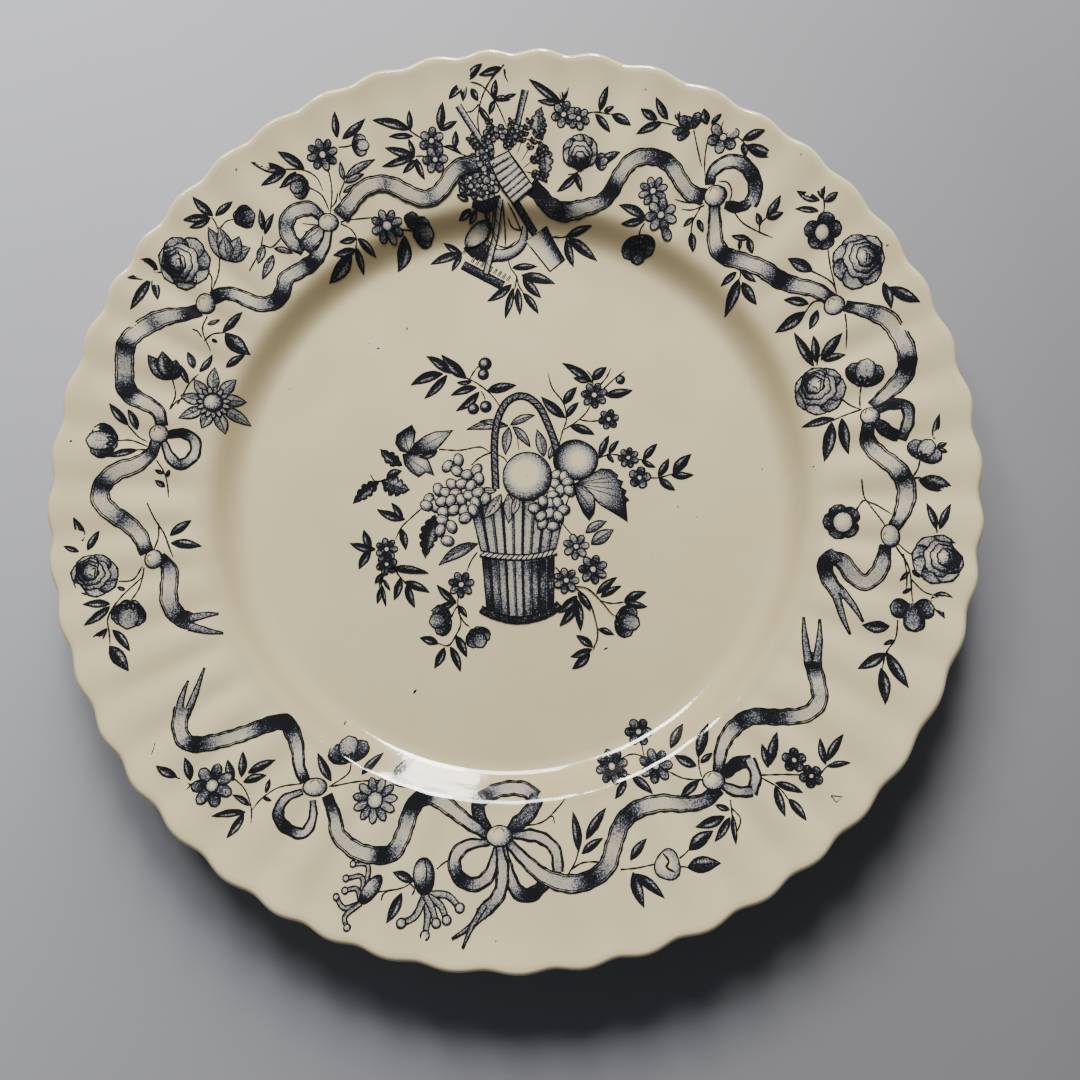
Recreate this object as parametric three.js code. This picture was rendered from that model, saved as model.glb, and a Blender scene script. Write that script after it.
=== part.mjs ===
// A scalloped and fluted earthenware dinner plate, in the layers that the real plate is made of:
// the fired biscuit body, the glaze over its face and back, and the glaze in the recess under it.
// Millimetres, +Z up. The origin is on the plate's axis, level with the face that the foot rests on.
import * as THREE from "three";

// Driving dimensions.
const rimRadius = 130; // mean radius of the scalloped edge
const wellRadius = 76.5; // where the flat of the well starts to turn up into the cove
const coveTurn = 7.5; // radial width over which the well turns up into the cove's wall
const shoulderInset = 8.5; // from the well to where the cove starts to lie back into the rim
const shoulderTurn = 4.5; // radial width of that shoulder
const wellHeight = 7.6; // face of the well above the table
const coveSlope = 1.05; // steepest rise per millimetre, on the wall of the cove
const rimSlope = 0.235; // rise per millimetre across the fluted rim
const lipFlare = 0.16; // extra rise per millimetre gained just inside the lip
const lipRadius = 1.45; // rounding of the edge
const wallAtShoulder = 4.4; // thickness where the cove meets the rim, measured upright
const wallAtLip = 3;

const footRadius = 75; // middle of the foot ring's resting face
const footWidth = 4.2; // width of that face
const recessHeight = 2.8; // underside of the base above the table
const footDraw = 1.6; // how far each side of the foot ring leans out from its resting face

const fluteCount = 48;
const fluteBearing = THREE.MathUtils.degToRad(2.3); // direction of the first flute's crest from +X
const fluteRise = 0.5; // crest above the mean rim
const scallopReach = 0.6; // crest outside the mean edge
const fluteStart = 85; // the flutes fade out on the shoulder at this radius
const fluteFacets = [1, -1, 1]; // crest, valley, crest: each lobe's broad top runs from crest to crest

const glazeThickness = 0.18;
const glazeClearance = 0.02; // keeps the glaze solids off the body
const dryEdge = 0.35; // the glaze stops this far above the resting face

// Height gained up to radius r by a slope that grows from 0 to 1 between two radii.
function slopeGain(r, from, to) {
  const u = THREE.MathUtils.clamp((r - from) / (to - from), 0, 1);
  return (to - from) * (u ** 3 - u ** 4 / 2) + Math.max(0, r - to);
}

// Height of the plate's face at radius r, halfway between flute crests and valleys.
function faceHeight(r) {
  const shoulderRadius = wellRadius + shoulderInset;
  const cove = coveSlope * slopeGain(r, wellRadius, wellRadius + coveTurn);
  const fall = (coveSlope - rimSlope) * slopeGain(r, shoulderRadius, shoulderRadius + shoulderTurn);
  const flare = lipFlare * slopeGain(r, rimRadius - 13, rimRadius - 2);
  return wellHeight + cove - fall + flare;
}

// Height of the turned underside, outside the foot ring.
function backHeight(r) {
  const share = THREE.MathUtils.smoothstep(r, wellRadius + shoulderInset, rimRadius);
  return faceHeight(r) - THREE.MathUtils.lerp(wallAtShoulder, wallAtLip, share);
}

// One point of a cross-section: radius, height and how strongly the flutes move it.
function station(r, z, lift = 0) {
  const reach = THREE.MathUtils.smoothstep(r, rimRadius - 20, rimRadius - 2);
  return { r, z, lift, reach };
}

function faceStation(r) {
  return station(r, faceHeight(r), THREE.MathUtils.smoothstep(r, fluteStart, fluteStart + 16));
}

function backStation(r) {
  return station(r, backHeight(r), THREE.MathUtils.smoothstep(r, rimRadius - 14, rimRadius - 3));
}

function lipStations() {
  const centreRadius = rimRadius - lipRadius;
  const centreHeight = faceHeight(centreRadius) - lipRadius;
  const degrees = [-50, -5, 40, 85];
  return degrees.map((degree) => {
    const angle = THREE.MathUtils.degToRad(degree);
    const r = centreRadius + lipRadius * Math.cos(angle);
    return station(r, centreHeight + lipRadius * Math.sin(angle), 1);
  });
}

// Cross-section of the glazed recess, from the axis out to the foot ring's inner side.
function recessSection() {
  const innerEdge = footRadius - footWidth / 2;
  return [
    station(0, recessHeight),
    station(innerEdge - footDraw, recessHeight),
    station(innerEdge, dryEdge),
  ];
}

// Cross-section of the glazed outside, from the foot ring's outer side round the lip to the axis.
function outsideSection() {
  const outerEdge = footRadius + footWidth / 2;
  const backRadii = [88, 106, 124];
  const faceRadii = [125, 113, 101, 90, 87.5, 85, 82.5, 79.5, wellRadius];
  return [
    station(outerEdge, dryEdge),
    station(outerEdge + footDraw, recessHeight),
    ...backRadii.map(backStation),
    ...lipStations(),
    ...faceRadii.map(faceStation),
    station(0, wellHeight),
  ];
}

// The same section moved towards the inside of the wall, which lies on its left.
function inset(section, depth) {
  return section.map((point, index) => {
    const before = section[Math.max(index - 1, 0)];
    const after = section[Math.min(index + 1, section.length - 1)];
    const run = new THREE.Vector2(after.r - before.r, after.z - before.z).normalize();
    const r = point.r === 0 ? 0 : point.r - depth * run.y;
    const z = point.r === 0 ? point.z + depth * Math.sign(run.x) : point.z + depth * run.x;
    return { ...point, r, z };
  });
}

// The inner side of a coat of this thickness, running back along the section that it lines.
function lining(section, depth) {
  const points = inset(section, depth).reverse();
  return points.map((point) => ({ ...point, lines: true }));
}

// A lathe splits each of its quads along one diagonal. A lining runs the other way, so its quads
// are split along the other one, which makes its facets match those of the body that it covers.
function matchFacets(geometry, section) {
  const index = geometry.getIndex();
  const bands = section.length - 1;
  for (let start = 0; start < index.count; start += 6) {
    const band = (start / 6) % bands;
    if (!section[band].lines || !section[band + 1].lines) continue;
    const [a, b, d, c] = [0, 1, 2, 3].map((corner) => index.getX(start + corner));
    [a, b, c, a, c, d].forEach((vertex, corner) => index.setX(start + corner, vertex));
  }
}

// Turns a section about the plate's axis and raises the flutes on it.
function turned(section) {
  const outline = section.map(({ r, z }) => new THREE.Vector2(r, z));
  const segments = fluteCount * fluteFacets.length;
  // A lathe starts its turn at -Y once it stands upright, a quarter turn before +X,
  // and the first step lies half a step past the middle of a lobe.
  const start = Math.PI / 2 + fluteBearing + Math.PI / segments;
  const geometry = new THREE.LatheGeometry(outline, segments, start);
  const position = geometry.getAttribute("position");
  for (let index = 0; index < position.count; index += 1) {
    const { r, lift, reach } = section[index % section.length];
    const step = Math.floor(index / section.length);
    const wave = fluteFacets[step % fluteFacets.length];
    const spread = r === 0 ? 1 : 1 + (scallopReach * reach * wave) / r;
    position.setX(index, position.getX(index) * spread);
    position.setY(index, position.getY(index) + fluteRise * lift * wave);
    position.setZ(index, position.getZ(index) * spread);
  }
  matchFacets(geometry, section);
  geometry.rotateX(Math.PI / 2);
  geometry.computeVertexNormals();
  return geometry;
}

function bodyGeometry() {
  const depth = glazeThickness + glazeClearance;
  const innerEdge = footRadius - footWidth / 2;
  const outerEdge = footRadius + footWidth / 2;
  return turned([
    ...inset(recessSection(), depth),
    station(innerEdge + depth, 0),
    station(outerEdge - depth, 0),
    ...inset(outsideSection(), depth),
  ]);
}

function outsideGlazeGeometry() {
  const section = outsideSection();
  return turned([...lining(section, glazeThickness), ...section]);
}

function recessGlazeGeometry() {
  const section = recessSection();
  return turned([...section, ...lining(section, glazeThickness)]);
}

function layer(name, geometry, material) {
  const mesh = new THREE.Mesh(geometry, material);
  mesh.name = name;
  return mesh;
}

const biscuit = new THREE.MeshStandardMaterial({ color: 0xd9ccb0, roughness: 0.85, metalness: 0 });
const faceGlaze = new THREE.MeshStandardMaterial({ color: 0xcfc4ac, roughness: 0.15, metalness: 0 });
const recessGlaze = new THREE.MeshStandardMaterial({ color: 0xc9bda3, roughness: 0.2, metalness: 0 });

const plate = new THREE.Group();
plate.add(
  layer("earthenware_body", bodyGeometry(), biscuit),
  layer("glaze_face_and_back", outsideGlazeGeometry(), faceGlaze),
  layer("glaze_foot_recess", recessGlazeGeometry(), recessGlaze),
);

export default plate;
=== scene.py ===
"""The looks of the scalloped, transfer-printed dinner plate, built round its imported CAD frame.

The print is drawn in plan, in millimetres, with +X to the right of the basket and +Y towards the
trophy at the top, and every shape is then laid on the plate's face.
"""

import math

import bpy
import numpy as np
from mathutils import Matrix, Vector


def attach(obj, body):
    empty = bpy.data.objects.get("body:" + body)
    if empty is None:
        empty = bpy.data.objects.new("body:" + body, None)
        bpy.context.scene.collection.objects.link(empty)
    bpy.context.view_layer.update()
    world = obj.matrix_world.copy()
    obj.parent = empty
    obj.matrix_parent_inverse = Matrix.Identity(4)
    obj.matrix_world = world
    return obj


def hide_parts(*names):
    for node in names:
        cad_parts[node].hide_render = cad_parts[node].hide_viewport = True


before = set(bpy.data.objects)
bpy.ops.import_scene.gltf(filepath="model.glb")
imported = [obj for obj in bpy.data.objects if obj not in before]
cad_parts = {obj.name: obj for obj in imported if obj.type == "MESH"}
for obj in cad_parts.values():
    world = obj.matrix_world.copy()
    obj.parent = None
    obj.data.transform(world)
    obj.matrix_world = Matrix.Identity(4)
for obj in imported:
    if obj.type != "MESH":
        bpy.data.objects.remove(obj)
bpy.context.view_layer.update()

# ------------------------------------------------------------------ the plate's surface

MM = 0.001  # one millimetre in metres: every other length in this section is in millimetres

RIM_RADIUS = 130.0
WELL_RADIUS = 76.5
WELL_HEIGHT = 7.6
COVE_TURN = 7.5
SHOULDER_RADIUS = 85.0
SHOULDER_TURN = 4.5
COVE_SLOPE = 1.05
RIM_SLOPE = 0.235
LIP_FLARE = 0.16
LIP_RADIUS = 1.45
WALL_AT_SHOULDER = 4.4
WALL_AT_LIP = 3.0

FOOT_RADIUS = 75.0
FOOT_WIDTH = 4.2
FOOT_DRAW = 1.6
RECESS_HEIGHT = 2.8
DRY_EDGE = 0.35
GLAZE_THICKNESS = 0.18

# The flutes are a touch shallower than the part's, so that the finer mesh stays in the part's box.
FLUTE_COUNT = 48
FLUTE_BEARING = math.radians(2.3)
FLUTE_RISE = 0.46
SCALLOP_REACH = 0.57
FLUTE_START = 85.0
FLUTE_GROWTH = 16.0


def smoothstep(value, low, high):
    share = np.clip((value - low) / (high - low), 0, 1)
    return share * share * (3 - 2 * share)


def slope_gain(radius, low, high):
    """Height gained by a slope that grows from 0 to 1 between two radii."""
    share = np.clip((radius - low) / (high - low), 0, 1)
    return (high - low) * (share**3 - share**4 / 2) + np.maximum(0, radius - high)


def profile_height(radius):
    """Height of the plate's face halfway between flute crests and valleys."""
    cove = COVE_SLOPE * slope_gain(radius, WELL_RADIUS, WELL_RADIUS + COVE_TURN)
    fall = slope_gain(radius, SHOULDER_RADIUS, SHOULDER_RADIUS + SHOULDER_TURN)
    flare = LIP_FLARE * slope_gain(radius, RIM_RADIUS - 13, RIM_RADIUS - 2)
    return WELL_HEIGHT + cove - (COVE_SLOPE - RIM_SLOPE) * fall + flare


def flute_wave(bearing):
    """1 on the crest of a flute's rounded lobe and -1 in the tighter valley between two lobes."""
    softness = 0.7
    drift = 0.30 * np.sin(7 * bearing + 1.0) + 0.22 * np.sin(11 * bearing + 2.5)
    turn = FLUTE_COUNT * (bearing - FLUTE_BEARING) + drift
    lobe = np.hypot(np.cos(turn / 2), softness)
    crest = math.hypot(1, softness)
    depth = 0.88 + 0.12 * np.sin(5 * bearing + 0.7)
    return depth * (2 * (lobe - softness) / (crest - softness) - 1)


def flute_lift(radius):
    """How much of their full rise the face's flutes have reached at a radius."""
    return smoothstep(radius, FLUTE_START, FLUTE_START + FLUTE_GROWTH)


def face_height(x, y):
    """Height of the fluted face above the table, at plan points."""
    radius = np.hypot(x, y)
    return profile_height(radius) + FLUTE_RISE * flute_lift(radius) * flute_wave(np.arctan2(y, x))


# ------------------------------------------------------------------ drawing kit

LINE = 0.42  # width of an engraved outline
FINE = 0.26  # width of a vein or a shading line
CELL = 0.8  # longest side of a cell in a shaded shape
LINE_CELL = 0.6  # longest stretch of a curved line that is drawn straight
BAND_CELL = 0.7  # the same for a ribbon or a strip
ROPE_CELL = 0.5  # and for a rope
VEINED_LENGTH = 9.0  # leaves up to this length have no side veins
VEIN_SPACING = 2.2
PRINT_LIFT = 0.06  # height of the lowest shapes over the face
LEVEL_STEP = 0.015  # how far a shape lies over the one that it covers
LINE_STEP = 0.009  # how far a line lies over the shape under it
COVER_CELL = 0.7  # size of the squares in which the shapes drawn so far are remembered


class Drawing:
    """One printed motif: its plan points, the ink at each, its faces and what covers what."""

    def __init__(self, name, depth=0.92):
        self.name = name
        self.depth = depth  # how dark its leaves are printed
        self.points = []
        self.inks = []
        self.lifts = []
        self.faces = []
        self.covered = {}

    def grid(self, rows, inks, line=False):
        """Joins rows of plan points, all equally long, into a sheet of quads over what is drawn.

        A shaded shape lies one level over every shape under it, and a line lies just over them.
        """
        rows = np.asarray(rows, float)
        inks = np.clip(np.broadcast_to(np.asarray(inks, float), rows.shape[:2]), 0, 1)
        count, width = rows.shape[:2]
        squares = {tuple(square) for square in np.floor(rows.reshape(-1, 2) / COVER_CELL).astype(int)}
        level = max(self.covered.get(square, 0) for square in squares)
        if line:
            lift = LEVEL_STEP * level + LINE_STEP
        else:
            self.covered.update(dict.fromkeys(squares, level + 1))
            lift = LEVEL_STEP * (level + 1)
        first = len(self.points)
        self.points.extend(rows.reshape(-1, 2).tolist())
        self.inks.extend(inks.reshape(-1).tolist())
        self.lifts.extend([PRINT_LIFT + lift] * (count * width))
        for row in range(count - 1):
            for column in range(width - 1):
                corner = first + row * width + column
                self.faces.append((corner, corner + width, corner + width + 1, corner + 1))


def smooth_path(points, step):
    """A Catmull-Rom curve through given points, as evenly spaced points."""
    points = np.asarray(points, float)
    points = np.vstack([2 * points[0] - points[1], points, 2 * points[-1] - points[-2]])
    share = np.linspace(0, 1, 12, endpoint=False)[:, None]
    pieces = []
    for a, b, c, d in zip(points, points[1:], points[2:], points[3:]):
        cubic = (3 * b - a - 3 * c + d) * share**3 + (2 * a - 5 * b + 4 * c - d) * share**2
        pieces.append((cubic + (c - a) * share + 2 * b) / 2)
    curve = np.vstack(pieces + [points[-2:-1]])
    lengths = np.concatenate([[0], np.cumsum(np.hypot(*np.diff(curve, axis=0).T))])
    count = max(3, int(round(lengths[-1] / step)) + 1)
    places = np.linspace(0, lengths[-1], count)
    return np.stack([np.interp(places, lengths, curve[:, axis]) for axis in (0, 1)], 1)


def sideways(path):
    """Unit vectors to the left of a path."""
    run = np.gradient(path, axis=0)
    run /= np.maximum(np.hypot(run[:, 0], run[:, 1]), 1e-9)[:, None]
    return np.stack([-run[:, 1], run[:, 0]], 1)


def wobble(path, size):
    """A hand's unsteadiness: the same small shifts each time for the same place on the plate."""
    x, y = path[:, 0], path[:, 1]
    return size * (np.sin(2.1 * x + 1.3 * y) + np.sin(3.7 * y - 1.9 * x + 1.0)) / 2


def stroke(art, points, width=LINE, ink=0.95, ends=(0.35, 0.35), smooth=True):
    """An engraved line that thins towards its ends."""
    path = smooth_path(points, LINE_CELL) if smooth else np.asarray(points, float)
    share = np.linspace(0, 1, len(path))
    start, end = ends
    body = np.minimum(start + (1 - start) * share * 6, end + (1 - end) * (1 - share) * 6)
    half = width / 2 * np.clip(body, 0, 1) * (1 + wobble(path, 0.3))
    side = sideways(path) * half[:, None]
    art.grid(np.stack([path + side, path - side], 1), ink, line=True)


def outline(art, points, width=LINE):
    """A closed engraved line."""
    stroke(art, np.vstack([points, points[:1]]), width, ends=(1, 1), smooth=False)


def leaf(art, base, tip, width, bend=0.0, dark=0.78, teeth=0, veins=None):
    """A pointed leaf with a pale streak down the left side of its midrib."""
    base, tip = np.asarray(base, float), np.asarray(tip, float)
    run = tip - base
    length = math.hypot(*run)
    left = np.array([-run[1], run[0]]) / length
    count = teeth * 3 + 1 if teeth else max(7, int(length / CELL) + 2)
    share = np.linspace(0, 1, count)
    midrib = base + share[:, None] * run + (4 * bend * share * (1 - share))[:, None] * left
    half = width / 2 * np.sin(math.pi * share**0.85) ** 1.1
    if teeth:
        half *= 1 - 0.32 * (np.arange(count) % 3 == 2)
    side = sideways(midrib)
    across = np.array([-1, -0.7, -0.4, -0.1, 0.1, 0.4, 0.7, 1.0])
    rows = midrib[:, None] + side[:, None] * (half[:, None] * across)[:, :, None]
    streak = np.exp(-(((across - 0.45) / 0.3) ** 2))
    middle = np.exp(-(((share - 0.5) / 0.28) ** 2))
    dark = dark * art.depth
    tone = dark * (1 + 0.25 * (1 - share[:, None])) + 0.15 * np.abs(across)[None]
    tone = tone - 0.75 * dark * streak[None] * middle[:, None]
    art.grid(rows, tone)
    stroke(art, rows[:, 0], ends=(0.6, 0.4), smooth=False)
    stroke(art, rows[:, -1], ends=(0.6, 0.4), smooth=False)
    stroke(art, midrib, FINE, 0.9, ends=(1, 0.2), smooth=False)
    if veins is None:
        veins = int(length / VEIN_SPACING) if length > VEINED_LENGTH else 0
    for number in range(1, veins):
        at = number / veins * 0.85
        reach = min(at + 0.14, 1)
        start = [np.interp(at, share, midrib[:, axis]) for axis in (0, 1)]
        for edge in (-0.85, 0.85):
            column = midrib + side * (half * edge)[:, None]
            end = [np.interp(reach, share, column[:, axis]) for axis in (0, 1)]
            stroke(art, [start, end], FINE, 0.85, ends=(1, 0.4), smooth=False)


def each(motif, art, rows):
    """Draws a motif once for each row of its values."""
    for row in rows:
        motif(art, *row)


def leaves(art, rows, **style):
    """Leaves listed as base x, base y, tip x, tip y, width and, where it isn't straight, bend."""
    for x0, y0, x1, y1, width, *bend in rows:
        leaf(art, (x0, y0), (x1, y1), width, *bend, **style)


def stems(art, paths, width=LINE):
    for path in paths:
        stroke(art, path, width, ends=(1, 0.5))


def ring_points(centre, radii, turn=0.0, count=20, lobes=None):
    """Points round an ellipse whose long side is turned from +X, pushed out and in by lobes."""
    angle = np.linspace(0, 2 * math.pi, count, endpoint=False)
    reach = 1 + (0 if lobes is None else lobes(angle))
    x = radii[0] * reach * np.cos(angle)
    y = radii[1] * reach * np.sin(angle)
    turned_x = x * math.cos(turn) - y * math.sin(turn)
    turned_y = x * math.sin(turn) + y * math.cos(turn)
    return np.stack([turned_x, turned_y], 1) + np.asarray(centre, float)


def shape(art, edge, dark, light, rim=0.25, pale=0.3, line=LINE):
    """A shaded shape: palest round light, given in shares of its size from its middle, and darker beyond."""
    edge = np.asarray(edge, float)
    middle = edge.mean(0)
    size = np.hypot(*(edge - middle).T).max()
    rings = max(2, int(math.ceil(size / CELL)))
    share = np.linspace(0.02, 1, rings + 1)
    closed = np.vstack([edge, edge[:1]])
    rows = middle + share[:, None, None] * (closed - middle)
    offset = (rows - middle) / size - np.asarray(light)
    far = np.hypot(offset[..., 0], offset[..., 1])
    tone = dark * np.clip((far - pale) / (1.15 - pale), 0, 1.2) + rim * share[:, None] ** 6
    art.grid(rows, tone)
    outline(art, edge, line)


def berry(art, x, y, radius, dark=1.1):
    edge = ring_points((x, y), (radius, radius), count=14)
    shape(art, edge, dark, (-0.3, 0.3), rim=0.5, pale=-0.15)


def petal(art, root, angle, length, width, dark=0.3, lines=3, notch=0.0, start=0.12):
    """A round-ended petal that grows from root, with shading lines from its narrow end."""
    share = np.linspace(0, 1, 9)
    half = width / 2 * np.sqrt(np.clip(1 - (2 * share**1.25 - 1) ** 2, 0, 1))
    half = np.maximum(half, width * 0.12 * (1 - share))
    aim = np.array([math.cos(angle), math.sin(angle)])
    left = np.array([-aim[1], aim[0]])
    across = np.array([-1, -0.6, -0.2, 0.2, 0.6, 1.0])
    along = length * (start + (1 - start) * share)
    dip = notch * length * (1 - np.abs(across))
    rows = np.asarray(root, float) + (along[:, None] - dip * share[:, None] ** 6)[:, :, None] * aim
    rows = rows + (half[:, None] * across)[:, :, None] * left
    tone = dark / (0.6 + dark) * (2.2 - 1.2 * share[:, None]) + 0.3 * np.abs(across) ** 4
    art.grid(rows, tone)
    border = np.vstack([rows[:, 0], rows[-1, 1:-1], rows[::-1, -1]])
    stroke(art, border, ends=(0.7, 0.7), smooth=False)
    for number in range(lines):
        column = -0.55 + 1.1 * number / max(lines - 1, 1)
        reach = 0.45 + 0.25 * (number % 2)
        inner = np.asarray(root, float) + aim * length * start
        outer = np.asarray(root, float) + aim * length * (start + reach)
        shift = left * width / 2 * column
        stroke(art, [inner + shift * 0.4, outer + shift], FINE, 0.75, smooth=False)


def flower(art, x, y, radius, petals=5, turn=0.0, dark=0.3, heart=0.24, fullness=1.05):
    """An open flower: a ring of petals round a dark-rimmed heart."""
    width = 2 * math.pi * radius * 0.55 / petals * fullness
    for number in range(petals):
        angle = turn + 2 * math.pi * number / petals
        petal(art, (x, y), angle, radius, width, dark * (0.75 + 0.5 * (number % 2)))
    shape(art, ring_points((x, y), (radius * heart, radius * heart), count=12), 0.5, (0, 0), pale=0.2)


def ribbon(art, points, width, tones, pinch=(1, 1)):
    """A silk ribbon in plan: tones run along it in turn, and pinch narrows it at its two ends."""
    path = smooth_path(points, BAND_CELL)
    share = np.linspace(0, 1, len(path))
    gather = np.minimum(pinch[0] + (1 - pinch[0]) * share * 4, pinch[1] + (1 - pinch[1]) * (1 - share) * 4)
    half = width / 2 * np.clip(gather, 0, 1)
    side = sideways(path)
    across = np.array([-1, -0.72, -0.4, 0, 0.4, 0.72, 1.0])
    frill = 0.10 * np.sin(np.arange(len(path)) * 1.1) * np.clip(gather, 0, 1)
    reach = half[:, None] * across + frill[:, None] * np.abs(across) ** 6 * np.sign(across)
    rows = path[:, None] + side[:, None] * reach[:, :, None]
    places = np.linspace(0, 1, len(tones))
    along = np.interp(share, places, tones)
    tone = 0.08 + 1.1 * along[:, None] ** 1.1 * (1.05 - 0.3 * across**2) + 0.125 * (across > 0.6)
    art.grid(rows, tone)
    for column in (0, -1):
        stroke(art, rows[:, column], LINE * 1.15, ends=(1, 1), smooth=False)
    inner = path[:, None] + side[:, None] * (reach * 0.76)[:, :, None]
    for column in (0, -1):
        stroke(art, inner[:, column], FINE * 1.2, 0.9, ends=(1, 1), smooth=False)


def strip(art, points, widths, tone, under=0.0, line=LINE):
    """A narrow band, such as a rod or a tube: widths run along it, and under darkens its right side."""
    path = smooth_path(points, BAND_CELL)
    share = np.linspace(0, 1, len(path))
    half = np.interp(share, np.linspace(0, 1, len(widths)), widths) / 2
    across = np.array([-1, -0.5, 0, 0.5, 1.0])
    rows = path[:, None] + sideways(path)[:, None] * (half[:, None] * across)[:, :, None]
    art.grid(rows, tone + under * (0.5 - 0.5 * across) ** 1.5 + 0.15 * np.abs(across) ** 4)
    for column in (0, -1):
        stroke(art, rows[:, column], line, ends=(1, 1), smooth=False)


def forked_end(art, end, tips, width):
    """The two long points of a ribbon's cut end, from the middle of its last stretch to each tip."""
    end = np.asarray(end, float)
    run = np.mean(tips, axis=0) - end
    side = np.array([-run[1], run[0]]) / math.hypot(*run) * width / 4
    for sign, tip in zip((1, -1), tips):
        root = end + sign * side
        middle = (root + np.asarray(tip)) / 2 + sign * side * 0.3
        strip(art, [root - run * 0.12, middle, tip], (width / 2, width * 0.36, 0.3), 0.45, 0.2)


def panel(art, corners, tones):
    """A four-cornered patch whose tones run from its first side to the opposite one."""
    a, b, c, d = np.asarray(corners, float)
    cells = 6
    u = np.linspace(0, 1, cells)[:, None, None]
    v = np.linspace(0, 1, cells)[None, :, None]
    rows = (1 - u) * ((1 - v) * a + v * b) + u * ((1 - v) * d + v * c)
    along = np.interp(u[:, 0, 0], np.linspace(0, 1, len(tones)), tones)
    art.grid(rows, np.repeat(along[:, None], cells, 1))
    for start, stop in ((a, b), (b, c), (c, d), (d, a)):
        stroke(art, [start, stop], ends=(1, 1))


def rope(art, points, width, pitch, tone):
    """A twisted rope: two outlines and a slanting line for each turn of the strands."""
    path = smooth_path(points, ROPE_CELL)
    side = sideways(path)
    across = np.array([-1, -0.4, 0.4, 1.0])
    rows = path[:, None] + side[:, None] * (width / 2 * across)[None, :, None]
    art.grid(rows, tone + 0.5 * np.abs(across) ** 3)
    for column in (0, -1):
        stroke(art, rows[:, column], ends=(1, 1), smooth=False)
    step = max(1, int(round(pitch / ROPE_CELL)))
    for start in range(0, len(path) - step, step):
        stroke(art, [rows[start, 0], rows[start + step, -1]], ends=(1, 0.8), smooth=False)


def grape(art, x, y, radius, turn):
    edge = ring_points((x, y), (radius * 1.2, radius * 0.88), turn, count=14)
    shape(art, edge, 0.75, (-0.25, 0.3), rim=0.3, pale=0.2, line=FINE * 1.3)
    inner = ring_points((x, y), (radius * 0.8, radius * 0.5), turn, count=14)
    stroke(art, inner[8:14], FINE * 0.8, 0.7, smooth=False)


def knot(art, x, y, radius, turn, squash):
    """The puffed knot in the middle of a bow, with its two creases."""
    edge = ring_points((x, y), (radius, radius * squash), turn, 16)
    shape(art, edge, 0.6, (-0.3, 0.25), rim=0.15, pale=0.45)
    for spread in (-0.5, 0.4):
        crease = ring_points((x, y), (radius * spread, radius * squash * 0.8), turn, 16)
        stroke(art, crease[1:5], FINE, 0.85)


def bud(art, x, y, size, turn, dark, middle, spread=0.6):
    """A bud seen from the side: two dark petals folded round a paler one, over a small calyx."""
    for side in (-spread, spread):
        petal(art, (x, y), turn + side, size * 0.92, size * 0.72, dark, lines=4, start=0.02)
    petal(art, (x, y), turn, size, size * 0.68, middle, lines=3, start=0.02)
    for side in (-1.2, -0.4, 0.4, 1.2):
        tip = (x + math.cos(turn + side) * size * 0.38, y + math.sin(turn + side) * size * 0.38)
        leaf(art, (x, y), tip, size * 0.16, veins=0)


def tulip(art, root, tips, width, dark=0.5):
    """A half-open flower whose pointed petals rise from one root, the last of them in front."""
    for number, tip in enumerate(tips):
        leaf(art, root, tip, width, 0.3 * (-1) ** number, dark=dark, veins=2)


def ruffle(angle):
    """The uneven edge of a full-blown petal ring."""
    return 0.07 * np.cos(7 * angle) + 0.04 * np.cos(3 * angle + 1)


def rose(art, x, y, radius, turn=0.0, lean=0.3, tall=1.15, petals=7, dark=0.45):
    """A full rose: broad outer petals behind a cupped bud that leans towards turn."""
    for number in range(petals):
        angle = turn + 2 * math.pi * (number + 0.5) / petals
        stretch = 1 + (tall - 1) * abs(math.sin(angle))
        tone = dark * (0.5 + 0.4 * (number % 2))
        petal(art, (x, y), angle, radius * stretch, radius * 0.95, tone, lines=5, notch=0.1)
    across, up = math.cos(turn), math.sin(turn)
    for size, shift, tone in ((0.72, 0.5, 0.45), (0.56, 0.8, 0.6), (0.38, 1.1, 0.85)):
        middle = (x + across * radius * lean * shift, y + up * radius * lean * shift)
        edge = ring_points(middle, (radius * size, radius * size * tall), turn, 22, ruffle)
        shape(art, edge, tone, (-0.5 * across, 0.35 - 0.5 * up), rim=0.35, pale=0.15)
    for number, reach in enumerate((-0.28, -0.1, 0.08, 0.24)):
        start = (middle[0] - up * radius * reach * 1.4, middle[1] + across * radius * reach * 1.4)
        bend = (start[0] + radius * 0.16, start[1] + radius * (0.16 - 0.1 * number))
        end = (middle[0] + radius * (0.3 - 0.1 * number), middle[1] - radius * 0.25)
        stroke(art, [start, bend, end], LINE, 0.95)


def aster(art, x, y, radius, turn):
    """A flower with long pointed rays behind a frill of small petals and a seeded heart."""
    rays = 9
    for number in range(rays):
        angle = turn + 2 * math.pi * number / rays
        reach = radius * (0.92 + 0.12 * (number % 3))
        start = (x + 0.3 * radius * math.cos(angle), y + 0.3 * radius * math.sin(angle))
        tip = (x + reach * math.cos(angle), y + reach * math.sin(angle))
        leaf(art, start, tip, radius * 0.36, 0.2, dark=0.45, veins=2)
    flower(art, x, y, radius * 0.52, 15, turn, 0.25, heart=0.6, fullness=1.2)
    shape(art, ring_points((x, y), (radius * 0.3, radius * 0.27), count=14), 0.7, (-0.3, 0.3), pale=0.2)


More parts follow.
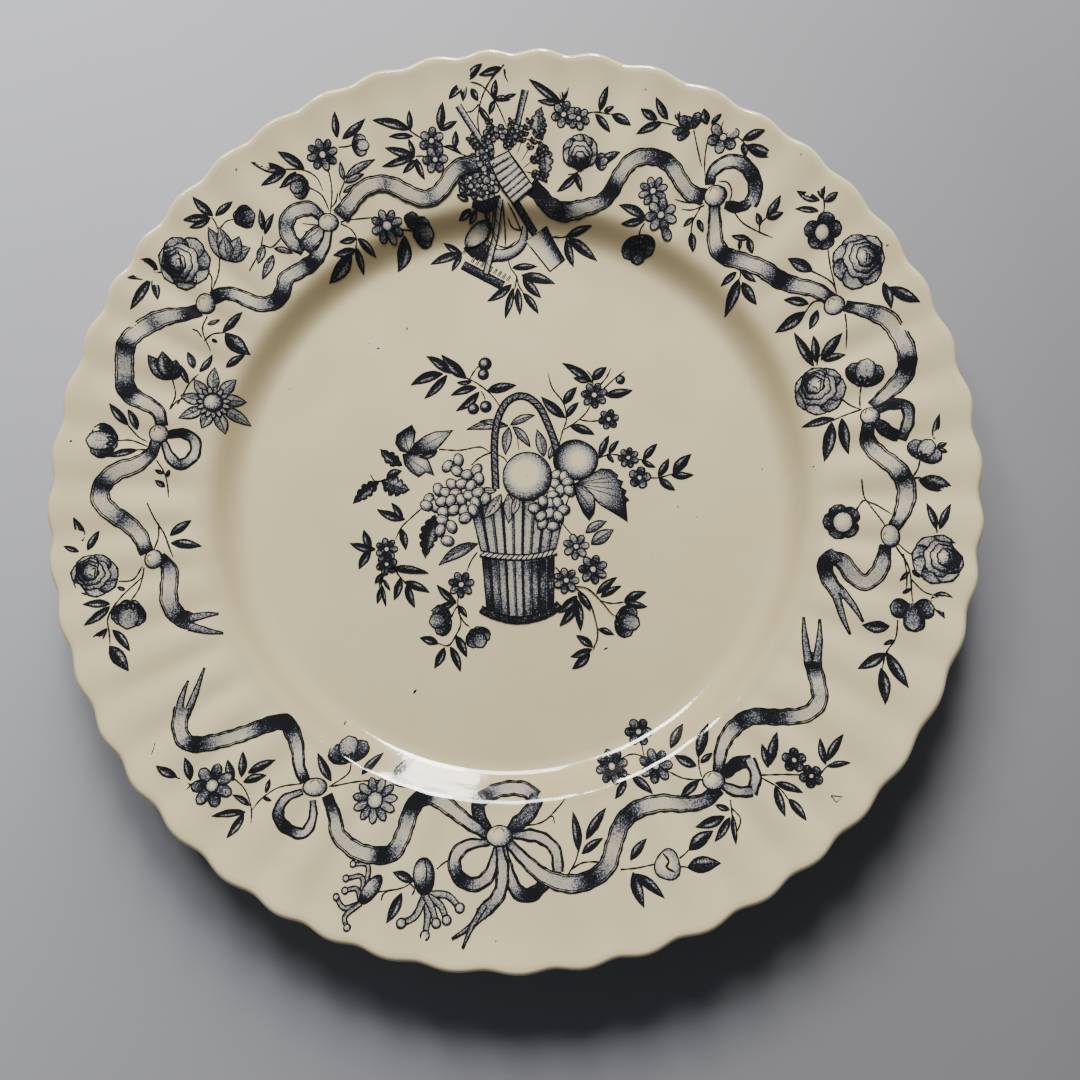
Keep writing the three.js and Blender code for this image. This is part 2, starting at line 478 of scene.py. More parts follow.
def honeysuckle(art, root, mouth, tubes, width):
    """A dark bud from root to mouth and the curled tubes that open from it, each with a round end."""
    for points in tubes:
        strip(art, [mouth, *points], (width * 0.3, width * 0.3, width * 0.24), 0.3, 0.35)
        berry(art, *points[-1], width * 0.22, 0.35)
    root, mouth = np.asarray(root, float), np.asarray(mouth, float)
    run = mouth - root
    edge = ring_points((root + mouth) / 2, (math.hypot(*run) / 2, width / 2), math.atan2(run[1], run[0]), 18)
    shape(art, edge, 1.0, (-0.3, 0.3), rim=0.4, pale=0.0)


def posy(art, centre, spread, count, size, seed):
    """A crowd of small overlapping blossoms, the same crowd each time for the same seed."""
    chance = np.random.default_rng(seed)
    for number in range(count):
        angle = 2.4 * number
        reach = math.sqrt((number + 0.5) / count)
        x = centre[0] + spread[0] * reach * math.cos(angle) + chance.uniform(-0.4, 0.4)
        y = centre[1] + spread[1] * reach * math.sin(angle) + chance.uniform(-0.4, 0.4)
        flower(art, x, y, size * chance.uniform(0.8, 1.15), 5, chance.uniform(0, 6), chance.uniform(0.2, 0.5))


def specks(art, marks):
    """Stray touches of ink, listed as x, y, length and the way that they run."""
    for x, y, length, turn in marks:
        half = (math.cos(turn) * length / 2, math.sin(turn) * length / 2)
        middle = (x + 0.1 * length, y + 0.1 * length)
        width = min(0.2 + 0.25 * length, 0.5 if length < 2 else 0.25)
        stroke(art, [(x - half[0], y - half[1]), middle, (x + half[0], y + half[1])], width)


# ------------------------------------------------------------------ the basket in the well


def basket_staves(art):
    """The upright staves, from the rim of the basket down to its foot, darker at its sides."""
    levels = np.array([-4.0, -7, -10, -14, -17.8, -19.2, -22, -26, -30, -33.6])
    foot, waist, top = -33.6, -18, -4
    left = np.interp(levels, [foot, waist, top], [-6.0, -7.5, -11.0])
    right = np.interp(levels, [foot, waist, top], [14.0, 14.2, 17.6])
    stave_count = 9
    for number in range(stave_count):
        share = np.linspace(number + 0.06, number + 0.86, 5) / stave_count
        x = left[:, None] + (right - left)[:, None] * share
        bow = 4 * (share - share**2)
        y = levels[:, None] + bow * np.interp(levels, [foot, waist, top], [-2.8, -1.0, 2.0])[:, None]
        side = abs(number - 3.4) / 5
        depth = np.interp(levels, [foot, -27, -19.2, -17.8, -12, top], [1.0, 0.45, 0.85, 0.5, 0.25, 0.8])
        tone = depth[:, None] * (0.4 + 1.0 * side) + 0.3 * np.array([1, 0, 0, 0, 0.6])
        art.grid(np.stack([x, y], 2), tone)
        for column, width in ((0, LINE), (-1, FINE)):
            stroke(art, np.stack([x[:, column], y[:, column]], 1), width, ends=(1, 1))
        gap = left[:, None] + (right - left)[:, None] * (number + np.array([0.88, 1.04])) / stave_count
        if number < stave_count - 1:
            art.grid(np.stack([gap, y[:, -2:]], 2), 0.9 - 0.3 * (number % 2))


def lobed_leaf(art, edge, light, dark=0.8):
    """A broad leaf from its stalk, the first point of its edge, with a vein to every other point."""
    shape(art, edge, dark, light, rim=0.25, pale=-0.1)
    stalk = np.asarray(edge[0], float)
    for point in edge[2:-1:2]:
        stroke(art, [stalk, stalk + 0.85 * (np.asarray(point) - stalk)], FINE, 0.85, (1, 0.3))


def draw_basket():
    art = Drawing("print_basket", 1.05)

    # Sprays behind the basket.
    stems(art, [
        [(-1.8, 26.0), (-5, 30.5), (-9.5, 34.2), (-15, 36.8), (-20, 38.6)],
        [(-11.5, 35.6), (-9.6, 38.6), (-8.2, 39.6)],
        [(-9.5, 30.6), (-9.4, 29), (-10.2, 27.6)],
        [(-8.0, 31.6), (-7.0, 29.8), (-6.8, 28.6)],
        [(15.2, 14.5), (16.4, 19.0), (17.5, 22.6), (16.6, 27.6), (13.4, 32), (12.0, 36.8)],
        [(16.8, 19.4), (20, 21.4), (23, 24.0), (24.8, 26.8)],
        [(21.5, 22.3), (24.5, 21.8), (27.5, 22.0)],
        [(25.5, 33.0), (25.0, 35.6), (23.6, 37.4)],
        [(28, 31.0), (30.6, 33.5), (33.0, 35.5), (34.8, 36.8)],
        [(26.8, 32.0), (29.4, 35.0), (30.8, 37.8)],
        [(26.0, 10.4), (30.0, 11.6), (33.0, 11.4), (37.6, 10.2), (41.0, 9.8)],
        [(-20.6, 14.0), (-14.4, 13.6), (-8.2, 14.5), (-5.0, 12.6)],
        [(-10.8, 9.0), (-8.4, 11.2), (-4.8, 12.6), (-1, 11), (0.2, 8.8)],
        [(-24.6, -3.0), (-28.6, -6.6), (-31.4, -9.4), (-33.2, -13.0)],
        [(41.0, 4.6), (44.4, 4.5), (49.2, 5.8)],
        [(-8.8, -17.0), (-10.6, -19.6), (-11.8, -22.6)],
        [(18.6, 0), (17.4, -3), (16.8, -6)],
        [(16.0, -8.4), (18.2, -11.2), (19.6, -12.6)],
        [(14.2, -21.6), (15.6, -23.2), (17, -24)],
    ])
    leaves(art, [
        (-12.5, 35.6, -20.2, 43.2, 3.2, 0.3), (-17.4, 37.2, -24.8, 42.8, 2.6, -0.5),
        (-19.6, 37.2, -29.4, 33.8, 3.0, -0.7), (-18.4, 36.8, -25.2, 29.6, 2.4, 0.3),
        (-6.4, 31.6, 2.6, 33.2, 2.8, 0.2), (-9.4, 32.8, -17.2, 30.4, 2.2, -0.4),
        (-8.6, 31.4, -15.6, 25.6, 2.2, 0.5), (-11.0, 34.6, -15.4, 34.4, 1.2, 0.2),
        (17.2, 23.0, 10.0, 29.6, 2.8, 0.3), (16.7, 27.0, 20.7, 32.3, 2.4, 0.3),
        (17.4, 23.0, 21.2, 27.6, 1.8, 0.3), (18.6, 20.4, 25.8, 17.7, 2.4, 0.3),
        (25.2, 33.6, 16.2, 39.8, 2.4, -0.4), (25.0, 34.2, 19.6, 35.2, 1.7, 0.2),
        (25.3, 34.2, 29.6, 38.2, 2.6, 0.3), (29.0, 29.7, 37.2, 31.0, 2.6, -0.2),
        (27.2, 10.8, 30.1, 17.4, 2.0, 0.2), (30.0, 11.8, 33.0, 15.8, 1.5, 0.3),
        (29.4, 11.8, 31.4, 9.2, 1.1), (40.0, 9.8, 44.2, 14.7, 2.0, 0.2), (39.6, 9.8, 43.6, 7.6, 1.4, -0.2),
        (44.3, 4.9, 47.5, 10.3, 2.1, -0.2), (44.5, 4.4, 49.2, 0.7, 2.1, -0.2),
        (48.6, 5.8, 54.0, 11.4, 2.9, 0.2), (48.2, 5.2, 54.6, 5.2, 2.0, -0.2),
    ])
    for x, y, radius in ((-6.9, 40.0, 1.9), (-7.4, 36.8, 1.6), (-10.3, 26.2, 1.6), (-6.6, 26.8, 1.7)):
        berry(art, x, y, radius)
    berry(art, 33.6, 34.3, 1.3)
    each(flower, art, [
        (25.8, 29.7, 4.0, 7, 0.3, 0.55), (30.0, 22.3, 3.1, 6, 0.2, 0.6), (35.7, 10.6, 3.1, 7, 0.5, 0.5),
        (38.9, 4.6, 3.3, 5, 0.1, 0.5),
    ])

    # Spray that shows under the handle, and the leaves to the left of it.
    leaves(art, [
        (0.2, 20.8, -12.4, 19.8, 2.6, -0.9), (-1.0, 21.2, -8.5, 22.4, 1.6, -0.2),
        (0.8, 21.0, 8.2, 23.9, 2.2, 0.5), (1.6, 20.6, 6.8, 14.2, 2.4, 0.3),
        (0.4, 20.4, -0.6, 12.0, 2.8, -0.2), (10.8, 11.3, 8.7, 19.6, 3.0, -0.2),
        (12.4, 10.5, 13.6, 15.2, 1.6),
    ], dark=0.42)
    stems(art, [[(1.4, 20.5), (2.8, 17.6), (3.4, 13.2)]], FINE)
    lobed_leaf(art, [(-29.6, 13.0), (-32.2, 13.8), (-33.7, 16.0), (-33.3, 18.6), (-31.4, 19.9),
                    (-28.8, 21.6), (-27.7, 19.4), (-28.2, 16.2), (-27.2, 14.2)], (0.3, -0.3), 1.1)
    lobed_leaf(art, [(-29.6, 13.0), (-28.0, 15.8), (-24.6, 18.2), (-21.8, 19.3), (-16.3, 19.7),
                    (-18.2, 17.6), (-20.0, 15.4), (-21.8, 13.6), (-25.0, 12.9)], (0.2, 0.3), 1.0)
    lobed_leaf(art, [(-31.4, 12.6), (-29.4, 12.8), (-25.5, 12.2), (-23.6, 10.4), (-21.9, 6.0),
                    (-24.4, 7.2), (-26.5, 5.7), (-29.0, 7.4), (-30.8, 9.6)], (0.2, 0.1), 1.0)
    leaf(art, (-21.0, 13.6), (-26.6, 11.6), 2.0, 0.3)
    leaf(art, (-31.6, 9.3), (-38.3, 14.4), 3.8, 0.4, teeth=4)
    leaf(art, (-37.6, 4.8), (-29.0, 1.8), 6.0, -0.5, teeth=5, dark=0.6)
    leaf(art, (-38.4, 4.6), (-46.2, -2.2), 4.2, -0.3, teeth=5)
    leaf(art, (-36.2, 5.4), (-31.6, 7.6), 2.4, 0.4)
    stems(art, [[(-31.6, 9.3), (-34, 9.8), (-36, 11)], [(-36.6, 4.8), (-39.6, 4.6), (-41.2, 6.8)]])
    leaves(art, [(-30.4, -7.0, -38.9, -3.9, 2.4, 0.5), (-31.2, -7.4, -34.6, -2.0, 1.8, -0.3)])
    leaf(art, (-31.6, -9.8), (-30.0, -16.2), 2.2, 0.2)
    leaf(art, (-8.6, -14.5), (-20.2, -20.9), 3.4, -0.8, dark=0.5)

    # The twisted handle.
    rope(art, [(-3.4, 1.8), (-3.8, 9.2), (-3.9, 16.3), (-3.2, 21.9), (-1.8, 25.8), (0.4, 28.7), (3.5, 29.9),
               (6.7, 29.0), (9.6, 26.2), (11.7, 21.9), (13.3, 17.7), (14.8, 13.0)], 2.0, 1.9, 0.55)

    # Fruit and its leaves.
    lobed_leaf(art, [(20.0, 3.0), (24.1, 5.2), (27.6, 7.4), (30.4, 7.1), (32.6, 5.3), (32.2, 4.3),
                     (34.0, 3.5), (33.3, 1.8), (35.0, 0.7), (34.3, -0.7), (35.7, -2.1), (34.7, -2.8),
                     (35.2, -8.5), (31.8, -6.0), (27.6, -3.5), (25.0, -1.0), (22.6, 1.2)], (-0.5, 0.0),
               0.95)
    lobed_leaf(art, [(19.4, 3.2), (22.6, 2.2), (25.4, -0.6), (25.8, -3.4), (25.4, -5.8), (24.1, -7.9),
                    (22.4, -5.6), (20.6, -1.6)], (0.3, 0.5), 0.95)
    apple = ring_points((20.2, 10.2), (6.6, 6.1), 0.1, 30, lambda angle: -0.06 * np.cos(angle - 0.9) ** 8)
    shape(art, apple, 0.95, (0.12, 0.0), rim=0.3, pale=0.28)
    grape_rows = (
        (14.5, 5.7), (16.8, 5.1), (14.2, 3.1), (17.8, 3.5), (15.6, 1.0), (18.3, 0.9), (13.4, -0.4),
        (12.6, -2.9), (15.0, -2.6), (16.6, -4.7), (12.4, -5.8), (15.1, -6.8), (13.5, -9.6), (10.5, -8.9),
        (10.6, -2.2), (8.1, -4.3), (10.0, -6.6),
    )
    basket_staves(art)
    leaves(art, [
        (-1.8, 0.2, -7.2, -7.2, 3.2, 0.4), (0.2, 0.2, 0.4, -8.6, 3.2, 0.3), (3.0, -0.4, 1.2, -6.4, 2.4, 0.3),
        (-3.2, 1.4, -8.6, 1.8, 1.8, 0.3),
    ], dark=0.3)
    for number, (x, y) in enumerate(grape_rows):
        grape(art, x, y, 1.62, 0.5 + number)
    peach = ring_points((5.9, 5.4), (7.2, 7.2), count=34)
    shape(art, peach, 0.75, (-0.12, 0.12), rim=0.2, pale=0.52)
    leaf(art, (-21.4, -5.8), (-24.2, -18.8), 5.6, -0.5, teeth=6, dark=0.75)
    for number, (x, y) in enumerate((
        (-17.8, 8.8), (-14.6, 10.6), (-15.0, 7.3), (-11.9, 6.2), (-9.2, 7.5), (-8.4, 4.9), (-16.4, 3.3),
        (-13.6, 3.4), (-10.8, 2.8), (-20.6, 1.8), (-18.2, 0.8), (-15.4, 0.6), (-23.4, -1.2), (-21.4, -3.2),
        (-24.0, -3.0), (-19.4, -1.8), (-16.8, -1.6), (-13.6, -1.4), (-11.2, -0.2), (-8.6, 0.8), (-6.4, -1.2),
        (-9.4, -2.4), (-18.9, -5.0), (-15.8, -4.4), (-12.8, -4.7), (-10.0, -4.6), (-19.2, -7.4),
        (-12.4, -6.8), (-19.8, -10.4), (-16.4, -9.4), (-17.6, -13.6),
    )):
        grape(art, x, y, 1.72, 0.9 + 0.8 * number)

    # The rope round the middle of the basket and the one round its foot.
    rope(art, [(-8.0, -17.4), (-2.5, -18.3), (4.5, -18.7), (10, -18.1), (14.6, -17.0)], 1.6, 1.6, 0.12)
    rope(art, [(-7.6, -33.6), (-4.0, -35.4), (2.2, -36.9), (8.6, -36.2), (13.2, -34.2), (15.4, -32.2)], 1.9,
         1.6, 0.75)

    # Flowers round the foot of the basket.
    flower(art, 20.2, -15.6, 3.9, 7, 0.1, 0.3)
    leaves(art, [(23.0, -11.6, 29.2, -8.2, 2.6, 0.4), (24.6, -15.0, 31.2, -10.7, 3.6, 0.2)], dark=0.45)
    each(flower, art, [
        (25.1, -22.3, 4.3, 7, 0.4, 0.5), (17.3, -25.5, 3.8, 7, 0.0, 0.4), (-13.4, -26.5, 3.9, 7, 0.2, 0.5),
        (-35.7, -15.9, 3.4, 7, 0.0, 0.5), (-35.6, -20.4, 3.2, 6, 0.3, 0.75),
    ])
    leaves(art, [
        (-39.0, -15.9, -46.8, -14.0, 2.2, 0.4), (-40.4, -15.8, -42.7, -10.0, 2.2, 0.2),
        (-40.4, -16.2, -43.9, -21.8, 2.4, -0.3), (-34.4, -21.6, -23.0, -23.1, 2.0, 0.4),
        (-30.4, -25.6, -22.7, -28.8, 2.2, 0.3), (-29.4, -26.2, -27.0, -33.2, 2.2, -0.4),
        (-31.4, -24.4, -33.2, -31.0, 2.2, 0.2), (-36.6, -24.8, -34.4, -28.2, 0.9),
        (-37.0, -27.0, -38.2, -32.0, 1.4), (-37.0, -26.4, -35.6, -32.8, 1.0),
        (-36.8, -23.0, -39.0, -26.0, 1.2), (-14.8, -32.0, -20.6, -26.5, 2.0, 0.3),
        (-14.8, -31.2, -22.3, -34.0, 1.8, 0.4), (-14.3, -32.6, -11.6, -36.2, 1.4, 0.2),
        (26.0, -29.5, 32.0, -24.6, 2.0, 0.2), (27.2, -30.4, 33.2, -27.2, 1.8, 0.2),
        (34.0, -31.4, 40.4, -29.0, 2.4, 0.2), (34.0, -31.8, 40.6, -33.2, 2.0, -0.2),
        (20.4, -30.0, 14.8, -34.7, 2.4, 0.3), (20.4, -32.4, 15.3, -38.6, 2.2, 0.2),
        (20.4, -31.0, 21.3, -40.0, 2.2, 0.2), (20.6, -29.0, 24.2, -34.2, 2.0, 0.3),
        (26.4, -39.6, 31.0, -41.3, 1.6, 0.2), (24.8, -44.8, 20.1, -41.4, 2.1, -0.2),
        (24.6, -45.3, 18.4, -47.5, 2.1, 0.2), (24.0, -46.6, 18.9, -51.0, 2.4, 0.2),
        (-20.0, -43.7, -25.4, -42.0, 2.2, -0.2), (-18.1, -44.8, -21.0, -50.8, 2.3, 0.2),
        (-16.4, -44.6, -13.4, -51.8, 2.2, 0.3), (-14.8, -41.4, -11.6, -47.6, 2.3, 0.2),
    ])
    stems(art, [
        [(-34, -20.6), (-31.6, -24.0), (-29.6, -26.2)], [(-36.0, -20.6), (-36.4, -23.2), (-37.2, -26.4)],
        [(-14.3, -29.5), (-14.3, -33.0), (-13.4, -37.6), (-14.9, -41.4), (-17.0, -44.2), (-20.2, -43.5)],
        [(-14.2, -34.6), (-12.4, -37.6), (-10.8, -38.8)], [(-16.2, -36.0), (-15.2, -33.8), (-14.4, -32.8)],
        [(-36.4, -23.4), (-37.6, -26.0), (-36.8, -30)],
        [(19.8, -27.2), (23.6, -28.0), (27.4, -31.6), (30.2, -35.0), (31.6, -36.0)],
        [(27.0, -31.4), (30.4, -32.2), (34.2, -31.8)],
        [(20.0, -27.6), (23.8, -31.4), (25.8, -37.5), (26.2, -41.8), (24.8, -45.6)],
    ])
    each(bud, art, [
        (-16.4, -36.4, 6.4, math.pi * 1.05, 0.7, 0.35, 0.65), (-9.6, -39.4, 6.0, -1.1, 0.6, 0.35, 0.5),
        (31.6, -36.6, 7.0, -0.25, 0.7, 0.3, 0.6),
    ])
    return art


# ------------------------------------------------------------------ the garden trophy at the top


def garden_tools(art):
    """The horn, papers, rake and rods that hang under the pan-pipes."""
    strip(art, [(2.4, 88.0), (5.2, 84.2), (8.2, 80.3)], (1.9, 1.9), 0.7, 0.2)
    mouth = ring_points((-9.2, 80.2), (4.8, 2.3), 0.62, 22)
    strip(art, [(-10.4, 79.0), (-8.4, 76.2), (-4.2, 74.2), (0.4, 74.6), (4.0, 77.4), (5.3, 82.0)],
          (8.0, 6.6, 3.8, 3.4, 2.6, 1.5), 0.1, 0.75)
    strip(art, [(-10.6, 78.6), (-8.4, 76.0), (-5.4, 74.2)], (7.4, 6.0, 3.4), 0.75, 0.2)
    shape(art, mouth, 0.75, (-0.2, -0.1), rim=0.3, pale=0.05)
    for start, bend, end in (
        ((-1.0, 87.5), (-0.9, 82.0), (-1.0, 76.4)), ((0.4, 87.6), (2.6, 84.0), (4.4, 80.2)),
        ((-3.4, 86.5), (-4.8, 82.0), (-3.4, 77.2)), ((-3.4, 77.4), (-0.6, 76.6), (2.6, 78.6)),
        ((0.2, 84.2), (1.4, 82.0), (4.2, 81.2)),
    ):
        stroke(art, [start, bend, end], LINE)
    panel(art, [(5.4, 78.4), (12.7, 68.5), (17.2, 72.2), (11.8, 81.8)], (0.05, 0.1, 0.15, 0.75, 0.95))
    strip(art, [(-14.0, 71.4), (-8.0, 68.0), (-1.6, 64.4)], (2.6, 2.6), 0.65, 0.3)
    for number in range(9):
        x, y = -11.2 + 1.35 * number, 72.2 - 0.78 * number
        strip(art, [(x, y), (x + 1.0, y + 1.5)], (0.6, 0.35), 0.2, line=FINE)
    strip(art, [(-1.6, 88.4), (-4.4, 78.4), (-6.9, 68.4)], (1.5, 1.7), 0.15, 0.5)
    for share in np.linspace(0.1, 0.85, 6):
        x, y = -1.6 - 5.3 * share, 88.4 - 20.0 * share
        stroke(art, [(x - 0.7, y + 0.6), (x + 0.7, y - 1.2)], FINE, 0.8)


def pan_pipes(art):
    """A block of seven reeds laid side by side, dark in the grooves between them."""
    left = np.array([[-4.8, 98.9], [-1.6, 91.8], [2.2, 87.0]])
    right = np.array([[1.0, 101.9], [4.7, 96.6], [8.3, 91.3]])
    reeds = 7
    places = np.linspace(0, 2, reeds + 1)
    edges = [np.stack([np.interp(places, (0, 1, 2), side[:, axis]) for axis in (0, 1)],
                      1) for side in (left, right)]
    for number in range(reeds):
        corners = edges[0][number], edges[1][number], edges[1][number + 1], edges[0][number + 1]
        panel(art, corners, (0.5, 0.1, 0.2, 0.9))
    for side in edges:
        stroke(art, side, LINE * 1.5, smooth=False)


def draw_trophy():
    art = Drawing("print_trophy")

    # Hoop of twigs over the trophy.
    stems(art, [
        [(-13.6, 122.2), (-7, 120.5), (-2.5, 115.5), (1, 108)],
        [(0.2, 125.8), (-4, 121.6), (-7, 116), (-8, 110), (-6.5, 104)],
        [(-7.6, 115.2), (-9.6, 113.6), (-11.4, 113.4)],
        [(24, 111), (27, 111.4), (32, 110.8)], [(17.8, 113), (17.2, 115), (16.4, 117.6)],
        [(-30, 109.4), (-27, 107.4), (-24.5, 106)], [(-26.8, 101), (-25, 101.2), (-23.6, 100.8)],
        [(-19.4, 104), (-14, 101.8), (-8.6, 100)], [(-15.6, 103.4), (-14.2, 102.4), (-13.2, 101.8)],
        [(6.8, 105), (8.6, 103.6), (11, 104)], [(18.6, 94.4), (21, 94.6), (22.6, 96)],
    ])
    leaves(art, [
        (-11.5, 122, -6.3, 126, 2.2, 0.2), (-0.5, 125, -7.4, 123.2, 1.8, 0.2),
        (0, 124.6, 2.8, 119.6, 1.8, 0.3), (-12, 121.2, -16.5, 116.8, 2.0, -0.3),
        (-11.8, 121.5, -12.4, 116.4, 1.7), (-9.8, 119.8, -7.8, 116.2, 1.8),
        (-3, 116.5, -2.3, 121.8, 1.8, 0.2), (-3, 116.2, 1.8, 116.4, 1.6, 0.4), (0, 117, 3.6, 118, 0.9),
        (-3, 116, -4.6, 112, 1.5), (-7.5, 114.6, -3.6, 109.4, 1.6, -0.3), (-26.8, 100, -30.8, 96, 1.6, 0.2),
        (-28, 108.5, -39.5, 111.2, 2.6, -0.3), (-28.2, 108.6, -28.5, 114.2, 1.5),
        (-27.5, 106.8, -34.6, 106.4, 1.5), (-27, 101.3, -35.9, 103.4, 2.2, 0.3),
        (-27.2, 101.4, -28.8, 105.8, 1.3), (-27, 101, -37, 98.2, 2.0, 0.3),
        (-26.6, 100.4, -24.3, 94.4, 1.8, -0.3), (-19.2, 108, -18.3, 116, 2.4, 0.2),
        (-19, 108, -14.2, 110.8, 1.5), (-15, 103, -14.6, 108, 1.7), (-14, 102.6, -18, 103.7, 1.1),
        (17.2, 114.9, 7.4, 121.6, 2.2, 0.3), (17.5, 115, 18.4, 122.6, 1.7, -0.2),
        (16.6, 115, 9.9, 115.4, 1.6, 0.2), (28.2, 111.6, 30.8, 118.5, 2, 0.2),
        (26.9, 110.8, 31.2, 105.8, 2, 0.2), (31.7, 110.8, 37.3, 106.9, 2.4, 0.2),
        (29.5, 111.6, 32.5, 112.9, 1.2), (21.5, 94.5, 15.2, 89.9, 2.0, 0.3), (21, 95, 22.6, 89.4, 1.7),
        (27.3, 97.4, 34.2, 99.8, 2.6, 0.2),
    ])
    for x, y, radius, turn in ((-22, 105.3, 3.9, 0.4), (-21, 100, 3.9, 0.0), (17.6, 111.6, 3.8, 0.2),
                               (22, 109.8, 3.3, 0.7)):
        flower(art, x, y, radius, 6, turn, 0.35)
    bud(art, 27.0, 97.6, 3.6, 0.1, 0.4, 0.3)
    rose(art, 22.3, 100.6, 5.6, -math.pi / 2, 0.35, 0.85, 8, 0.4)

    # Two rods, the wheat and the posy behind the pipes.
    strip(art, [(-13.8, 115.2), (-9.6, 108.8), (-5.5, 102.5)], (1.8, 1.5), 0.1, 0.8)
    strip(art, [(6.3, 118.8), (4.7, 113.2), (3.2, 107.4)], (2.0, 1.6), 0.35, 0.6)
    leaf(art, (11.2, 104.4), (11.2, 113.8), 5.0, 1.2, teeth=5, veins=4, dark=0.6)
    leaf(art, (10.2, 104.2), (11.4, 93.2), 5.0, 1.0, teeth=6, veins=5, dark=0.6)
    for x, y, reach, turn in (
        (-5.6, 99.5, 7.5, 2.2), (-3.0, 101, 8.5, 1.75), (0.8, 102, 8, 1.4), (3.4, 101, 9, 1.15),
        (4.8, 99, 9.5, 0.95), (5.2, 96.8, 7.5, 0.6), (5.6, 96, 6, -0.3),
    ):
        stroke(art, [(x, y), (x + reach * math.cos(turn), y + reach * math.sin(turn))], FINE)
        for number in range(4):
            share = 0.4 + 0.6 * number / 3
            place = np.array([x + reach * share * math.cos(turn), y + reach * share * math.sin(turn)])
            for spread in (-0.7, 0.7):
                tip = place + 1.9 * np.array([math.cos(turn + spread), math.sin(turn + spread)])
                leaf(art, place, tip, 0.9, dark=0.3, veins=0)
    posy(art, (-7.4, 95.6), (5.6, 7.0), 13, 2.7, 5)
    posy(art, (0.6, 106.0), (5.6, 2.4), 5, 2.0, 9)
    strip(art, [(-10.2, 87.4), (-6.2, 86.6), (-1.4, 88.6)], (1.8, 3.0, 1.8), 0.85)
    leaves(art, [
        (-10.6, 86, -14.6, 83.4, 1.6), (-11.2, 88.4, -14.8, 89.8, 1.6), (-9, 85.6, -11.6, 82.6, 1.5),
        (-11.4, 90.6, -14.2, 93.4, 1.4), (-6.4, 85.6, -5.4, 83.2, 1.2), (-12, 94.4, -14.4, 96.8, 1.2),
    ])

    garden_tools(art)
    ribbon(art, [(-8.6, 98.9), (-12.2, 98.2), (-15.5, 96.2), (-18.4, 92.4), (-21.5, 89.7), (-25.2, 88.9),
                 (-29.5, 90.4), (-33.8, 92.6), (-37.9, 93.2), (-42.8, 91.2), (-46.6, 87.4), (-49.6, 83.4)],
           4.6, (0.5, 0.65, 0.2, 0.05, 0.1, 0.45, 0.15, 0.05, 0.1, 0.5, 0.1, 0.1, 0.05, 0.3, 0.8))
    ribbon(art, [(7.2, 91.8), (9.8, 89.8), (12.4, 86.8), (15.8, 84.9), (19.5, 84.6), (24, 85.2),
                 (28.4, 86.3), (31.4, 89.0), (33.8, 93), (37.3, 96.9), (41.6, 98.2), (45.9, 97.2),
                 (49.2, 94.4), (51.6, 90.5), (54.5, 87), (58.4, 85.2)], 4.4,
           (0.95, 0.8, 0.6, 0.75, 0.2, 0.15, 0.5, 0.95, 0.3, 0.05, 0.25, 0.6, 0.75, 0.2, 0.05, 0.3, 0.9))
    pan_pipes(art)

    # Leaves at the foot of the trophy.
    stems(art, [
        [(-14.3, 75.2), (-12.6, 76), (-11.4, 77.2)], [(13.4, 79.2), (16, 78.9), (18, 79)],
        [(0, 72.4), (0.8, 69.8), (2.5, 67), (1.7, 62.4)], [(2.6, 67.4), (3.2, 64.4), (4.6, 62)],
    ])
    leaves(art, [
        (-14.3, 75.2, -19.8, 78.2, 1.8, 0.2), (-14.3, 75, -24, 71.8, 2.6, -0.4),
        (-14.4, 74.8, -17.4, 69.5, 1.6), (17.5, 78.9, 25.6, 80.6, 1.6, 0.2),
        (17.8, 78.6, 19.8, 69.8, 2.4, -0.3), (18.4, 78.6, 27, 71.4, 2.8, 0.2),
        (1.2, 70, 8.8, 70.2, 2.0, 0.2), (4, 67.6, 14.2, 64.6, 3.0, 0.4), (4.4, 66.8, 10, 60.3, 2.6, -0.2),
        (1.0, 64.8, -6.4, 59.6, 2.4, 0.4), (1.5, 63.6, -0.9, 54, 2.0), (2.8, 63.6, 3.6, 55, 2.0),
        (4.5, 62, 9.2, 55.2, 2.0, 0.3),
    ])
    return art


# ------------------------------------------------------------------ the left side of the garland


